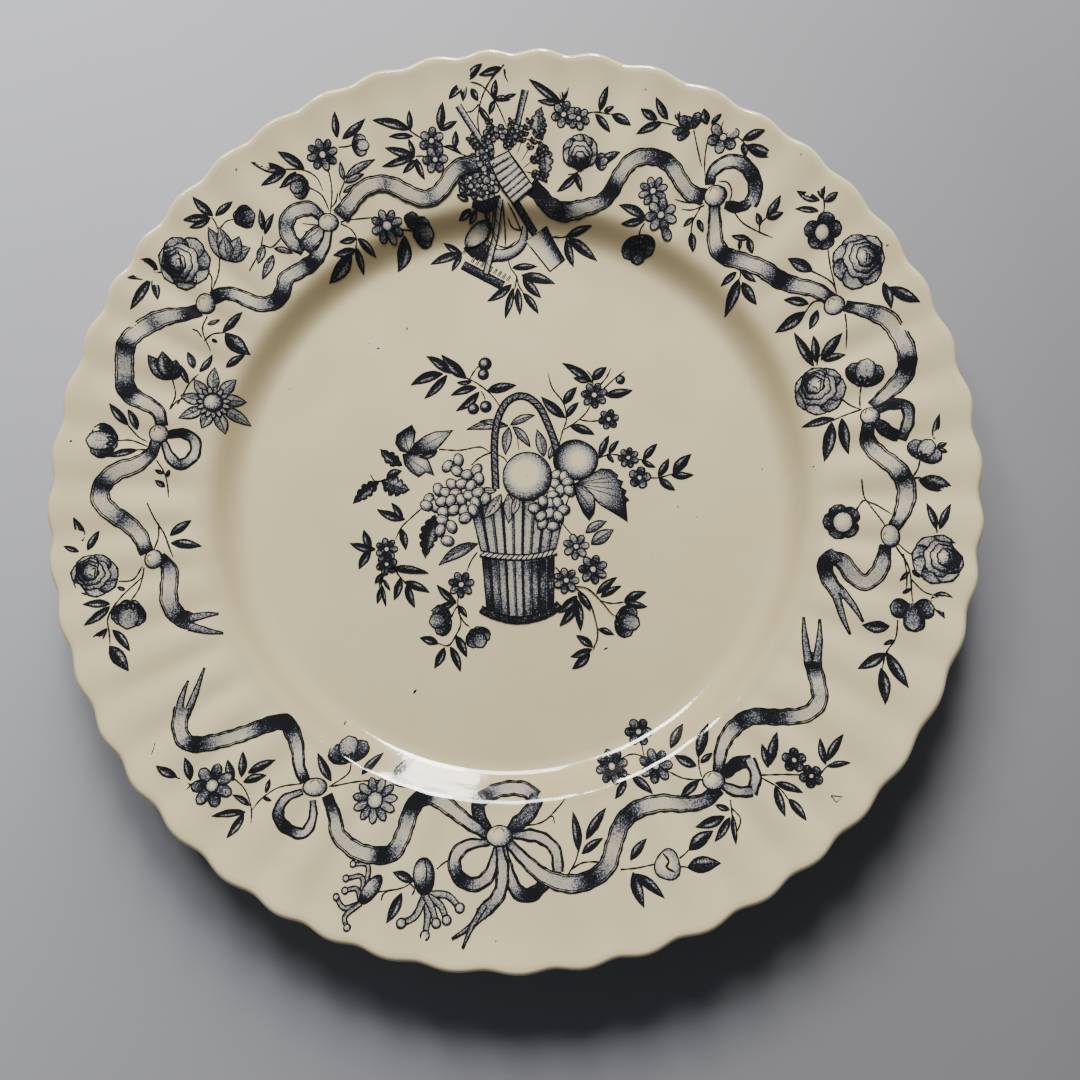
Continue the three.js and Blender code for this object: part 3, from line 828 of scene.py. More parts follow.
def draw_left_garland():
    art = Drawing("print_garland_left")

    # Sprays round the bow and down to the first knot.
    stems(art, [
        [(-53.7, 98.4), (-52.6, 95.4), (-52, 90.5), (-52.5, 84)],
        [(-49.6, 103.3), (-47.5, 103.4), (-45.5, 104)],
        [(-65.4, 96.7), (-60.2, 96.5), (-56.4, 94.6), (-54.6, 90.9)],
        [(-58.6, 91.6), (-54.9, 89.4), (-52.8, 85)], [(-50.4, 90.4), (-50.9, 87.8), (-52.2, 86)],
        [(-48.2, 93.8), (-49.8, 90), (-49.2, 88)], [(-49.6, 81.8), (-46.6, 82.8), (-39.8, 83.4)],
        [(-49.6, 81.4), (-46.6, 79.9), (-45.1, 77.3), (-45.5, 74)],
        [(-76.4, 66.7), (-73.7, 72), (-72.6, 77.4)], [(-72.6, 74.7), (-70, 74.2), (-66.9, 76.9)],
        [(-85.2, 78.4), (-86, 80.6), (-87, 82)], [(-84.4, 79), (-82.8, 81.1), (-79.8, 82.2)],
        [(-85, 71), (-85.6, 65.2), (-87, 60.6)], [(-89.6, 67), (-87.3, 64.5), (-87.3, 60)],
        [(-100.1, 65.2), (-103.5, 65), (-105, 63.3)], [(-88.8, 53), (-89.8, 48.6), (-87.7, 42.6)],
        [(-89.4, 45.4), (-86.9, 47.6), (-83.5, 48.3)], [(-92.6, 48.7), (-91.2, 48.2), (-90, 46.4)],
        [(-35, 80), (-31, 80.4), (-28.6, 80.2)],
    ])
    leaves(art, [
        (-49.9, 106, -50.3, 113.2, 2.0, 0.2), (-48.4, 105.6, -41.6, 111.8, 2.2, -0.2),
        (-65.4, 96.6, -75.4, 98.3, 2.6, 0.3), (-59.8, 96.9, -67.5, 101.6, 2.6, -0.2),
        (-65.2, 96.2, -72.6, 91.7, 2.2, -0.2), (-62.2, 96, -67.5, 91.4, 1.9, 0.2),
        (-44.7, 77.3, -40, 73, 2.2, 0.2), (-45.1, 77.4, -50.2, 76.1, 1.7, 0.2),
        (-45.2, 74.8, -44.2, 68.4, 1.8), (-45.5, 74.3, -52.1, 72.3, 2.1, 0.2),
        (-46.8, 73.2, -54, 64.8, 3.0, 0.3), (-31, 79, -34, 69.6, 3.8, 0.6),
        (-72.6, 79, -73.1, 84.9, 1.8, -0.2), (-72, 77.8, -69, 83.7, 1.6, 0.2),
        (-86.6, 82.4, -92, 87.3, 2.4, 0.2), (-85.9, 82.4, -81, 87, 2.0, 0.2),
        (-87.2, 81.6, -95, 80.6, 2.1, -0.2), (-87.6, 81.2, -93.4, 78.7, 1.7, 0.3),
        (-102.4, 66, -107.7, 68.2, 2.9, -0.3), (-103.1, 65.2, -110.5, 62.9, 2.0, 0.2),
        (-104.6, 63.5, -110, 53.8, 2.2, 0.3), (-104, 63.2, -102.4, 57, 1.9, 0.2),
        (-84.3, 48.4, -78.5, 54.5, 2.1, 0.2), (-83.5, 48.2, -76.5, 42.1, 4.4, -0.5),
        (-87.2, 46, -85.6, 45.2, 0.7),
    ])
    leaves(art, [
        (-48.2, 94, -49.3, 99.4, 1.5, 0.2), (-48.1, 94.6, -38.9, 100.3, 2.2, 0.2),
        (-48.1, 93.4, -42.2, 95.8, 1.8), (-48.8, 90.7, -44.6, 92.8, 1.3), (-72.4, 74.8, -73.9, 68.8, 2.2),
        (-69.4, 73.8, -63.7, 72.4, 1.5, 0.2), (-69.7, 72, -72.8, 64.3, 2.4, 0.2),
        (-88.6, 50.4, -85.2, 52.2, 1.1),
    ], dark=0.5)
    flower(art, -54.5, 101.3, 4.7, 8, 0.3, 0.45)
    each(bud, art, [
        (-45.4, 104.0, 4.8, 0.05, 0.35, 0.15), (-58.8, 92.2, 5.6, math.pi * 1.05, 0.6, 0.35, 0.5),
    ])
    flower(art, -35.9, 81.1, 4.9, 8, 0.4, 0.4, heart=0.3)
    each(bud, art, [
        (-28.6, 80.8, 4.4, 1.5, 0.9, 0.8, 0.3), (-28.4, 80.2, 6.0, 0.0, 0.6, 0.35, 0.45),
        (-80.6, 82.0, 6.2, 0.22, 0.75, 0.5, 0.3),
    ])
    tulip(art, (-82.4, 69.4), ((-88.0, 79.0), (-85.0, 79.2), (-76.0, 73.6), (-79.2, 76.8), (-83.2, 76.4)),
          4.4)
    rose(art, -94.8, 68.4, 7.0, math.pi * 1.08, 0.3, 1.15)

    # The bow: its two loops, then the ribbon down to the first knot.
    ribbon(art, [(-54.6, 82.8), (-58.6, 85.6), (-63.6, 84.4), (-65.6, 80), (-64, 75.8), (-60.4, 73.4)], 4.2,
           (0.7, 0.25, 0.1, 0.55, 0.15, 0.7), pinch=(0.5, 0.8))
    ribbon(art, [(-60.6, 73.6), (-58.4, 76.6), (-54.6, 80.4)], 4.6, (0.75, 0.2, 0.35), pinch=(0.7, 0.5))
    for start in ((-61.4, 75.8), (-60.6, 78.8), (-61.2, 81.4)):
        stroke(art, [start, (-57.6, start[1] * 0.5 + 40.4), (-54.8, 81)], FINE, 0.85)
    ribbon(art, [(-53.2, 80), (-54.6, 75), (-57.9, 70.2), (-62.2, 67.4), (-65.8, 65.2), (-66.8, 61.6),
                 (-68.8, 58.5), (-72.6, 57.2), (-76, 57.8), (-79.8, 59.4), (-83.5, 59.8), (-87, 58.2)], 4.3,
           (0.2, 0.1, 0.25, 0.95, 0.25, 0.1, 0.5, 0.85, 0.35, 0.05, 0.1, 0.6, 0.95), pinch=(0.5, 0.8))
    knot(art, -53.2, 81.6, 3.0, 0.0, 0.85)

    # The ribbon down the left side, from knot to knot, and its cut end.
    ribbon(art, [(-90.6, 54.8), (-94.8, 53.2), (-99.4, 52.2), (-103.9, 50.4), (-108, 47.6), (-110.6, 44),
                 (-111.3, 39.6), (-111.5, 35.4), (-111.2, 31.4), (-109, 28.2), (-105.2, 26.2),
                 (-101.8, 23.8), (-100.7, 19.6)], 5.0,
           (0.9, 0.85, 0.3, 0.15, 0.5, 0.05, 0.1, 0.85, 0.35, 0.25, 0.6, 0.95, 0.1, 0.1, 0.2, 0.9),
           pinch=(0.7, 0.6))
    ribbon(art, [(-99.4, 17.2), (-95.2, 17.8), (-91.8, 15.8), (-91.8, 11.4), (-95.2, 8.4), (-98.2, 10.6),
                 (-100.4, 15.4)], 3.0, (0.8, 0.85, 0.2, 0.1, 0.65, 0.2, 0.5), pinch=(0.6, 0.5))
    ribbon(art, [(-102.4, 15.8), (-103.4, 11.6), (-107.2, 8.0), (-112.4, 5.8), (-116.2, 1.8),
                 (-116.2, -2.8), (-112.8, -6.6), (-108.7, -9.4), (-105.2, -13.2), (-102.9, -18)], 4.9,
           (0.5, 0.7, 0.1, 0.05, 0.15, 0.85, 0.1, 0.1, 0.6, 0.15, 0.1, 0.95), pinch=(0.5, 0.7))
    ribbon(art, [(-99.6, -18.8), (-96.9, -22.4), (-96.4, -28.2), (-95.8, -32.6), (-93.2, -36.2),
                 (-88.8, -37.8)], 4.6, (0.95, 0.35, 0.05, 0.2, 0.75, 0.6), pinch=(0.6, 1))
    forked_end(art, (-89.2, -37.8), ((-82.5, -35.2), (-80.8, -40.8)), 4.6)
    each(knot, art, [
        (-89.1, 56.6, 2.9, 0.9, 0.95), (-101.6, 17.4, 2.7, 0.3, 0.95), (-101.1, -19.6, 2.7, 1.3, 0.85),
    ])

    # Sprays along the left side.
    stems(art, [
        [(-98.2, 33.8), (-97.5, 29.1), (-98.8, 24.6)], [(-96.8, 26.4), (-94.1, 31.8), (-90.9, 35.5)],
        [(-98.6, 24.8), (-96.4, 27.8), (-92.4, 28.2)], [(-112.7, 15), (-109, 15.2), (-104.2, 13.4)],
        [(-110, 19.5), (-107.3, 16.4), (-104.8, 15)], [(-110.6, 11.8), (-107.4, 12.4), (-104.6, 12.6)],
        [(-101.8, 9.5), (-99.5, 5.5), (-98.2, -1.4)],
        [(-103.8, -3.2), (-101.4, -8.2), (-98.6, -12.7), (-95.9, -19)],
        [(-100.6, -9), (-100.4, -13.6), (-101.2, -17)], [(-110.2, -26.2), (-106.4, -25.6), (-104, -21.6)],
        [(-103.6, -22), (-104.5, -28.2), (-106.4, -32)],
        [(-104.2, -25), (-109.1, -30.9), (-111.8, -36.4), (-111.4, -40.9), (-110.6, -46)],
    ])
    leaves(art, [
        (-92.3, 37.1, -94.3, 42.2, 2.0, -0.2), (-90.6, 36.2, -87.3, 41.6, 1.8, -0.2),
        (-93.7, 32.7, -95.7, 37.9, 1.7, 0.2), (-83.4, 38, -78, 41.9, 2.0, 0.2),
        (-110, 19.7, -115.1, 25.8, 2.3, 0.2), (-107.7, 18.4, -110, 24.2, 2.2, -0.3),
        (-107.2, 12.3, -115.2, 10, 1.9, -0.2), (-99.5, 1.8, -102.2, 3.6, 1.5),
        (-99.8, 5.6, -102.2, 6.6, 0.9), (-99, 4.6, -98.2, 6.8, 0.8), (-97.3, -12.6, -91.7, -8, 2.3, 0.2),
        (-96.8, -14.8, -88.4, -15.6, 2.5, 0.2), (-120.4, -14.8, -123, -8, 2.1, -0.2),
        (-118.8, -17.4, -116.3, -11.6, 1.9, 0.2), (-121, -17.8, -125, -16.4, 1.2),
        (-111.6, -32.7, -118.8, -32.9, 2.0, -0.2), (-111.6, -33.4, -117.8, -38.8, 2.1, 0.2),
        (-112, -39.6, -117.4, -46, 2.2, 0.2), (-110.6, -40, -105.3, -46, 2.1, 0.2),
        (-111, -44.6, -105.1, -51.6, 3.4, 0.2), (-108.2, -28.6, -110.4, -27.8, 0.9),
    ])
    tulip(art, (-98.8, 33.6), ((-104.9, 40.6), (-97.2, 39.6), (-101.0, 42.0)), 4.6, 0.75)
    aster(art, -86.8, 27.3, 9.2, 0.15)
    bud(art, -112.9, 14.8, 8.2, math.pi, 0.75, 0.15, 0.5)
    rose(art, -116.3, -24.6, 6.2, 2.6, 0.25, 1.0)
    bud(art, -106.2, -31.8, 8.0, -1.65, 0.7, 0.25, 0.38)
    return art


# ------------------------------------------------------------------ the right side of the garland


def draw_right_garland():
    art = Drawing("print_garland_right")

    # Sprays from the trophy down to the first knot.
    stems(art, [
        [(45, 107.7), (49.4, 106.4), (53.4, 104.2)], [(55.4, 104), (56.6, 98.5), (57.8, 93.8)],
        [(59.2, 100.4), (58.6, 96), (58.6, 91.5)], [(67.8, 101.2), (69, 100), (70, 98.6)],
        [(39.4, 76.2), (40, 78), (41.2, 79.4)], [(58.4, 82.8), (55, 82), (51.8, 82.6)],
        [(58.2, 83.4), (54, 84.2), (50, 85.4)], [(57.1, 82.2), (55, 78.4), (54.4, 74)],
        [(66.8, 80.4), (70, 76.2), (77.6, 72.1)], [(74, 73.8), (74, 76), (75.8, 77.8)],
        [(71, 70), (71, 72), (68.8, 73.4)], [(68, 64.8), (68.6, 62.8), (68, 60.6)],
    ])
    leaves(art, [
        (45, 108.2, 40.2, 111.3, 2.3, 0.2), (48.1, 108, 44.6, 114.1, 2.3, 0.2),
        (46.3, 107.3, 38.8, 104.3, 2.1, -0.2), (51, 107.4, 50.6, 111, 1.5),
        (59.3, 105.4, 58.3, 109.6, 2.4, 0.2), (60.4, 105.4, 63.3, 107.8, 1.2),
        (69.2, 100, 75.4, 101.8, 2.2, 0.2), (69.4, 99.2, 70.1, 95.5, 1.8),
        (70.1, 98.4, 78.5, 94.8, 2.9, -0.2), (41.4, 80.8, 33.6, 85, 2.6, -0.6),
        (41.2, 80.3, 34.2, 79.9, 2.0, 0.2), (55.2, 79.8, 52.3, 77.4, 1.3), (56.4, 79, 58, 75.4, 1.5),
        (54.5, 75.6, 55, 70, 2.0, 0.2), (75.7, 77.7, 79.8, 83.6, 2.2, -0.2), (76.1, 77.5, 80.6, 78.9, 1.9),
        (74, 75.8, 73, 79.3, 1.6, -0.2), (71, 72.6, 66, 73.6, 1.5, 0.3), (70.8, 72.6, 71.9, 68.2, 1.9),
        (68.6, 72.4, 68.2, 69.4, 0.9), (67.4, 63.3, 63, 59.8, 1.7), (68, 61.2, 64.4, 51.8, 3.0, 0.2),
        (69, 60.2, 73, 53.4, 2.7, -0.2), (68.8, 63.3, 72.8, 59.8, 1.5),
    ])
    for turn, reach, width in ((2.2, 5.4, 3.0), (1.15, 5.2, 2.6), (3.05, 5.6, 2.0), (3.6, 4.6, 1.8),
                               (1.8, 4.2, 1.6)):
        petal(art, (54.8, 104.0), turn, reach, width, 0.6, lines=4)
    each(flower, art, [
        (63.8, 101.6, 4.6, 6, 0.2, 0.35), (43.6, 88.2, 4.3, 8, 0.2, 0.3), (45.9, 81.2, 4.8, 7, 0.5, 0.3),
    ])
    petal(art, (46.4, 78.6), -1.2, 5.0, 2.6, 0.35)
    bud(art, 39.4, 76.2, 6.6, -1.62, 0.75, 0.6, 0.75)

    # First knot with its ring-shaped loop, and the ribbon on to the second knot.
    ribbon(art, [(60, 88.5), (60.6, 91.8), (64, 94.3), (68.6, 93.8), (72, 90.2), (72.8, 85.6),
                 (71.2, 81.6)], 3.8, (0.8, 0.3, 0.1, 0.5, 0.75, 0.6, 0.2), pinch=(0.6, 1))
    ribbon(art, [(71.4, 82.6), (68.4, 81.6), (64.2, 82.6)], 2.8, (0.4, 0.95, 0.7), pinch=(0.6, 0.6))
    stroke(art, [(62.4, 89.2), (65, 88.6), (66.2, 86), (65.4, 83.2)], LINE)
    stroke(art, [(62.2, 87.6), (64, 87.2), (64.8, 85.4), (64.2, 83.8)], LINE)
    ribbon(art, [(61.2, 83), (61.4, 77), (61.6, 71.8), (64, 68.2), (69.2, 66.2), (74.4, 63.6), (78.7, 60.4),
                 (83.9, 57.8), (89.1, 55.9), (93.6, 52.8)], 4.7,
           (0.7, 0.15, 0.05, 0.1, 0.95, 0.4, 0.1, 0.15, 0.5, 0.95, 0.3, 0.05, 0.15, 0.9), pinch=(0.6, 0.7))
    knot(art, 61.4, 85.2, 3.1, 0.2, 0.95)

    # Sprays round the second knot.
    stems(art, [
        [(91.4, 82), (91.6, 79), (91.2, 76.4)], [(88.2, 61.5), (93.4, 57.6), (95, 54)],
        [(92.5, 69), (93.2, 61.6), (94.6, 55.4)], [(105.8, 58.4), (107, 57.6), (107.6, 55.4)],
        [(91.6, 52.8), (88.4, 52.6), (86, 49.6)], [(96.9, 48.4), (97.2, 44), (97.1, 38.7)],
        [(89.2, 34.6), (89.8, 37), (91, 38)], [(95.5, 24.6), (98, 22.4), (100.8, 20.8)],
        [(100.8, 28), (100.4, 24.6), (100.3, 21.4)], [(100.6, 21), (96, 19.6), (92, 18)],
    ])
    leaves(art, [
        (91.2, 81.4, 90.8, 87.2, 1.8, 0.2), (90.4, 81, 84.2, 84.5, 2.1, 0.2), (91.8, 80.4, 95.2, 82.5, 1.9),
        (90, 78, 83.8, 79.6, 1.6, -0.2), (88.4, 61.4, 81.6, 65.6, 3.1, -0.2),
        (106.2, 58.1, 113, 58.9, 2.3, 0.2), (107.1, 56.2, 108.9, 48.6, 2.3, 0.2),
        (108.6, 54.8, 116.2, 49.6, 2.8, -0.2), (87.2, 52.2, 80.4, 54, 2.3, -0.2),
        (86.3, 50.2, 78, 44.9, 3.1, 0.2), (89.6, 50.4, 87.3, 45, 2.1, 0.2),
        (88.4, 34.4, 83.2, 44.6, 2.3, 0.2), (88.9, 35.6, 88.3, 43, 2.1, -0.2), (90.4, 36, 96, 43, 2.8, 0.2),
        (91, 35.8, 97, 37, 1.9, 0.2), (93.4, 19, 84.8, 17.2, 2.1, -0.2), (92.7, 18, 90.4, 6.8, 3.1, 0.3),
        (95.4, 18.9, 97, 8.6, 2.7, -0.3),
    ])
    for turn in (1.3, 0.1, 2.9, -1.3, -2.2):
        petal(art, (91.2, 72.4), turn, 5.2, 4.6, 0.7, lines=5, start=0.05)
    shape(art, ring_points((91.0, 72.0), (2.0, 2.4), count=14), 0.35, (-0.2, 0.2), pale=0.3)
    rose(art, 100.6, 62.9, 6.8, 0.45, 0.3, 1.15)
    rose(art, 89.8, 27.2, 6.9, 2.3, 0.3, 1.0)
    bud(art, 100.9, 27.8, 7.6, 1.35, 0.75, 0.2, 0.6)

    # Ribbon past the second and third knots to its cut end.
    ribbon(art, [(97, 50.8), (102.7, 48.6), (108, 45.8), (111, 41.2), (112.6, 35.6), (112, 30),
                 (108.2, 25.8), (103.4, 21.6)], 4.7,
           (0.95, 0.3, 0.6, 0.1, 0.05, 0.15, 0.3, 0.95, 0.5, 0.2, 0.15, 0.7), pinch=(0.6, 0.6))
    ribbon(art, [(104.6, 20.4), (108.4, 21.8), (112, 21), (112.4, 16.6), (110.4, 11.8)], 2.9,
           (0.6, 0.85, 0.5, 0.3, 0.75), pinch=(0.6, 0.9))
    ribbon(art, [(110.2, 12.6), (107, 14.4), (104, 17.6)], 3.0, (0.85, 0.7, 0.6), pinch=(0.8, 0.5))
    ribbon(art, [(102.2, 17), (102, 12.2), (104.9, 7.8), (109.2, 3.3), (111.4, -2.1), (110.2, -7.7),
                 (107.4, -13)], 4.7, (0.5, 0.9, 0.2, 0.05, 0.1, 0.8, 0.2, 0.1, 0.15, 0.85),
           pinch=(0.6, 0.6))
    ribbon(art, [(105.4, -17.4), (103.4, -24.2), (99.8, -27.6), (96.6, -25.6), (94, -21.6), (91, -20.4)], 4.2,
           (0.95, 0.3, 0.1, 0.2, 0.3, 0.85), pinch=(0.6, 0.9))
    ribbon(art, [(92.6, -19.6), (89.6, -21.6), (90.2, -26.4), (93.6, -32)], 3.8, (0.5, 0.95, 0.3, 0.5))
    forked_end(art, (93.0, -31.2), ((98.4, -38.4), (95.0, -41.8)), 4.0)
    each(knot, art, [
        (94.2, 51.3, 2.8, 0.6, 0.95), (102.7, 18.9, 2.5, 0.2, 0.95), (106.6, -14.9, 3.1, 1.75, 0.75),
    ])

    # Sprays down the right side.
    stems(art, [
        [(114.9, 5.7), (114.2, 3.2), (112.8, 1)], [(112.2, 0.6), (114.6, 0.8), (116, 0)],
        [(98.3, -7.1), (100.6, -4.6), (102.7, -7.7), (105.6, -12.4)],
        [(99.9, 1.2), (100.8, -4.3), (103.6, -6.2), (107.2, -9)],
        [(108.4, -17), (111, -19.8), (114, -21.6)], [(108, -18), (110.6, -24), (111.2, -33.4)],
        [(109.6, -20), (110, -26), (109.8, -30)], [(111, -27), (114, -30.4), (116.6, -31.6)],
        [(107, -38), (106.2, -43), (103.6, -47), (102, -52)], [(118.2, -14.6), (118, -12.8), (117.6, -11)],
    ])
    leaves(art, [
        (119, 11.2, 120.3, 18.1, 1.5, 0.2), (119.4, 9, 122, 10.2, 1.3), (119.4, 8.6, 121.8, 7.4, 1.1),
        (114.4, 0.2, 123, -3, 4.0, 0.3), (118, -13.6, 116.1, -6.3, 1.7, -0.2),
        (118.8, -13.6, 122, -6.9, 1.7, 0.2), (116.4, -31.4, 120.9, -32.4, 1.8, 0.2),
        (116, -31.8, 118.5, -37.8, 1.9), (110.6, -25, 108.2, -27.4, 0.9), (111, -29.6, 108.8, -30.8, 0.8),
        (111.4, -24.6, 113.2, -26.6, 0.9), (104.9, -39.6, 98.1, -39.2, 3.0, 0.4),
        (105.8, -43.4, 103.2, -44.6, 0.9), (103.4, -46.8, 96.2, -51, 2.7, 0.2),
        (103.8, -46.6, 108.4, -56, 2.8, -0.2), (102, -50.8, 102.5, -60.5, 2.7, 0.3),
    ])
    bud(art, 114.9, 6.0, 6.2, 1.0, 0.4, 0.15, 0.75)
    for turn in (0.6, 1.9, 3.1, 4.3, 5.4):
        petal(art, (94.4, -10.4), turn, 5.0, 4.8, 0.75, lines=5, start=0.05)
    shape(art, ring_points((94.6, -10.6), (2.6, 2.9), count=16), 0.3, (-0.1, 0.1), pale=0.3)
    rose(art, 117.8, -21.8, 6.2, 0.1, 0.35, 1.1, 8, 0.4)
    for turn in (2.9, 0.15, -1.5):
        petal(art, (110.8, -35.6), turn, 5.6, 5.2, 0.6, lines=6, start=0.02)
    petal(art, (110.8, -33.4), -1.6, 7.6, 4.4, 0.35, lines=4, start=0.02)
    return art


# ------------------------------------------------------------------ the bottom of the garland


def bottom_left_sprays(art):
    stems(art, [
        [(-90, -80.5), (-86, -82.2), (-84, -82.6)],
        [(-75.5, -80), (-71.5, -83.5), (-69, -89), (-68.5, -92.8)],
        [(-56, -82.5), (-62, -83.5), (-66.5, -86.5), (-68.8, -89.5)],
        [(-48.5, -83.5), (-43.5, -80), (-42.8, -76.8)], [(-48, -83.4), (-40, -82), (-32, -81.8)],
        [(-33, -110.5), (-27, -109.5), (-24, -108)], [(-17.6, -104.8), (-16, -103.4), (-14.4, -102.4)],
        [(-24.6, -108.2), (-23.2, -109.6), (-23.8, -111.2)],
        [(-32, -112.6), (-31.6, -111), (-29.6, -109.8)],
    ])
    leaves(art, [
        (-89.5, -80.5, -95, -77.4, 2.1, 0.2), (-86, -81.6, -87.9, -75.3, 2.1, -0.2),
        (-85.6, -82.5, -91.4, -84.9, 2.0), (-74.2, -81.6, -76.5, -76, 2.3, 0.2),
        (-72.2, -80.6, -72.6, -73.8, 2.1, -0.2), (-70.6, -79.6, -63.6, -76.1, 2.1, 0.2),
        (-71.6, -82, -65.8, -80.3, 2.1, 0.2), (-70.4, -90, -79.2, -90.9, 1.8, -0.2),
        (-70.8, -90.4, -74.7, -96.7, 2.1, 0.2), (-69.6, -88.3, -74.2, -85.3, 1.4, -0.2),
        (-65.5, -85, -64.8, -81.3, 1.1), (-66, -86.2, -63.6, -87, 0.7), (-48, -82, -52.2, -74.3, 2.2, 0.2),
        (-39.6, -80.2, -34.8, -74.6, 2.1, 0.2), (-32.2, -81.6, -24.8, -83.6, 2.1, 0.2),
        (-31.5, -81, -26, -75.8, 2.1, 0.2), (-23.6, -107.8, -29.4, -105.5, 2.3, -0.2),
        (-26.6, -110.6, -30.2, -118, 2.5, 0.2),
    ])
    flower(art, -79.8, -82.8, 5.8, 7, 0.5, 0.45, heart=0.3)
    bud(art, -43.6, -76.8, 7.0, 1.75, 0.6, 0.2, 0.8)
    flower(art, -35.5, -87.0, 6.2, 11, 0.1, 0.3, heart=0.36, fullness=1.15)
    honeysuckle(art, (-32.6, -106.4), (-37.4, -113.2), (
        [(-36, -104.2), (-40.2, -103.4)], [(-37.4, -106.8), (-41.8, -107)], [(-38.6, -109.6), (-41.8, -110)],
        [(-41.6, -114.2), (-44, -111.6)], [(-41.2, -116.2), (-40.4, -119)],
    ), 3.8)
    honeysuckle(art, (-21.4, -101.8), (-20.4, -111.2), (
        [(-14.4, -111.2), (-10.8, -114.2)], [(-16.2, -113.6), (-14.2, -117.2)],
        [(-19.4, -116), (-19.8, -121)], [(-22.6, -116.2), (-26.2, -118)], [(-18.4, -114.4), (-17, -118)],
    ), 5.6)
    stroke(art, [(-20.8, -102.4), (-20.2, -106), (-20.6, -110)], LINE)


def bottom_right_sprays(art):
    stems(art, [
        [(18, -105.6), (20.1, -102), (21.3, -97.3)], [(18.4, -104.6), (22, -102.6), (28, -102.4)],
        [(3.9, -93.6), (10.7, -92.6), (15.4, -88.4), (17.6, -85.6)],
        [(12.6, -91.2), (13.8, -91), (14.2, -92.8)], [(31.6, -76.4), (36, -74.6), (41, -76)],
        [(38.9, -74.8), (38.2, -71)], [(54.6, -80.8), (49.4, -80.5), (45, -78.6)],
        [(54.2, -80), (53.6, -77), (53.8, -74)], [(69.2, -79.3), (76.5, -79), (81, -79)],
        [(70, -80), (74.4, -82.6), (77, -86)], [(84, -79.6), (86, -77.4), (87.6, -76)],
        [(32, -104), (36.8, -103.5), (41.5, -102.5)], [(47.4, -103), (48.6, -102.8), (49.6, -103)],
        [(47.6, -100.8), (49.2, -99.6), (50.2, -98.6)], [(61.6, -85.8), (61.8, -90), (61.6, -93)],
        [(61.9, -88), (64, -90.6), (62.8, -94)], [(33.4, -79.4), (35, -80), (36, -80.6)],
    ])
    leaves(art, [
        (20.8, -99.8, 19.2, -89.6, 2.2, -0.3), (22.8, -96.8, 28.3, -88.5, 2.3, 0.2),
        (21.7, -100.4, 27.4, -96.3, 1.9, 0.2), (35.3, -80, 41, -84.7, 2.2, 0.2),
        (33.7, -81, 30.8, -86.2, 1.9, 0.2), (46.2, -72.7, 50, -66.2, 2.3, 0.2),
        (53, -77.2, 47.1, -74.4, 2.5, 0.2), (53.5, -75, 56.6, -65.9, 2.7, 0.3),
        (54.1, -76.4, 57.3, -73.7, 1.5), (53.5, -81, 48.3, -85.8, 2.1, -0.2),
        (71.8, -77.4, 70.4, -71.1, 1.8, -0.2), (72.4, -76.6, 74.6, -67.8, 2.3, 0.2),
        (73.4, -81.2, 80.4, -83.6, 1.9, 0.2), (73.4, -82, 75.4, -89.6, 2.1, -0.2),
        (76.5, -85.2, 80.7, -90.5, 2.1, 0.2), (86.5, -76.2, 85.6, -69.4, 1.7, 0.2),
        (87, -75.3, 91.4, -68.3, 2.0, 0.2), (87, -76.7, 92.9, -75.7, 1.4, 0.2),
        (34.7, -101.7, 39.1, -96.2, 2.1, 0.2), (35.3, -104.6, 38.1, -113.1, 2.7, -0.3),
        (35.8, -105, 43.5, -110.9, 2.3, 0.3), (49.6, -103, 58.4, -101.8, 3.8, 0.2),
        (50.2, -98.8, 56.7, -93.7, 3.1, 0.2), (59.8, -90, 52.1, -93, 2.5, 0.2),
        (61.2, -90.2, 57, -96.4, 1.9, 0.2), (61.9, -89.6, 62.4, -97, 1.3), (61.2, -88.4, 57.5, -87.2, 1.4),
    ])
    each(flower, art, [
        (30.0, -77.9, 4.6, 8, 0.3, 0.6), (42.0, -77.4, 4.6, 7, 0.1, 0.45), (37.6, -68.6, 3.9, 6, 0.0, 0.5),
        (78.5, -75.2, 3.2, 5, 0.3, 0.7), (82.6, -79.2, 3.0, 5, 0.8, 0.7),
    ])
    bell = ring_points((44.5, -102.6), (3.9, 3.3), 1.4, 22, lambda angle: 0.08 * np.cos(3 * angle))
    shape(art, bell, 0.55, (-0.2, 0.1), rim=0.2, pale=0.35)
    stroke(art, [(43.2, -99.6), (44.8, -101.6), (44.2, -103.2), (46.6, -104.4)], LINE * 1.6)


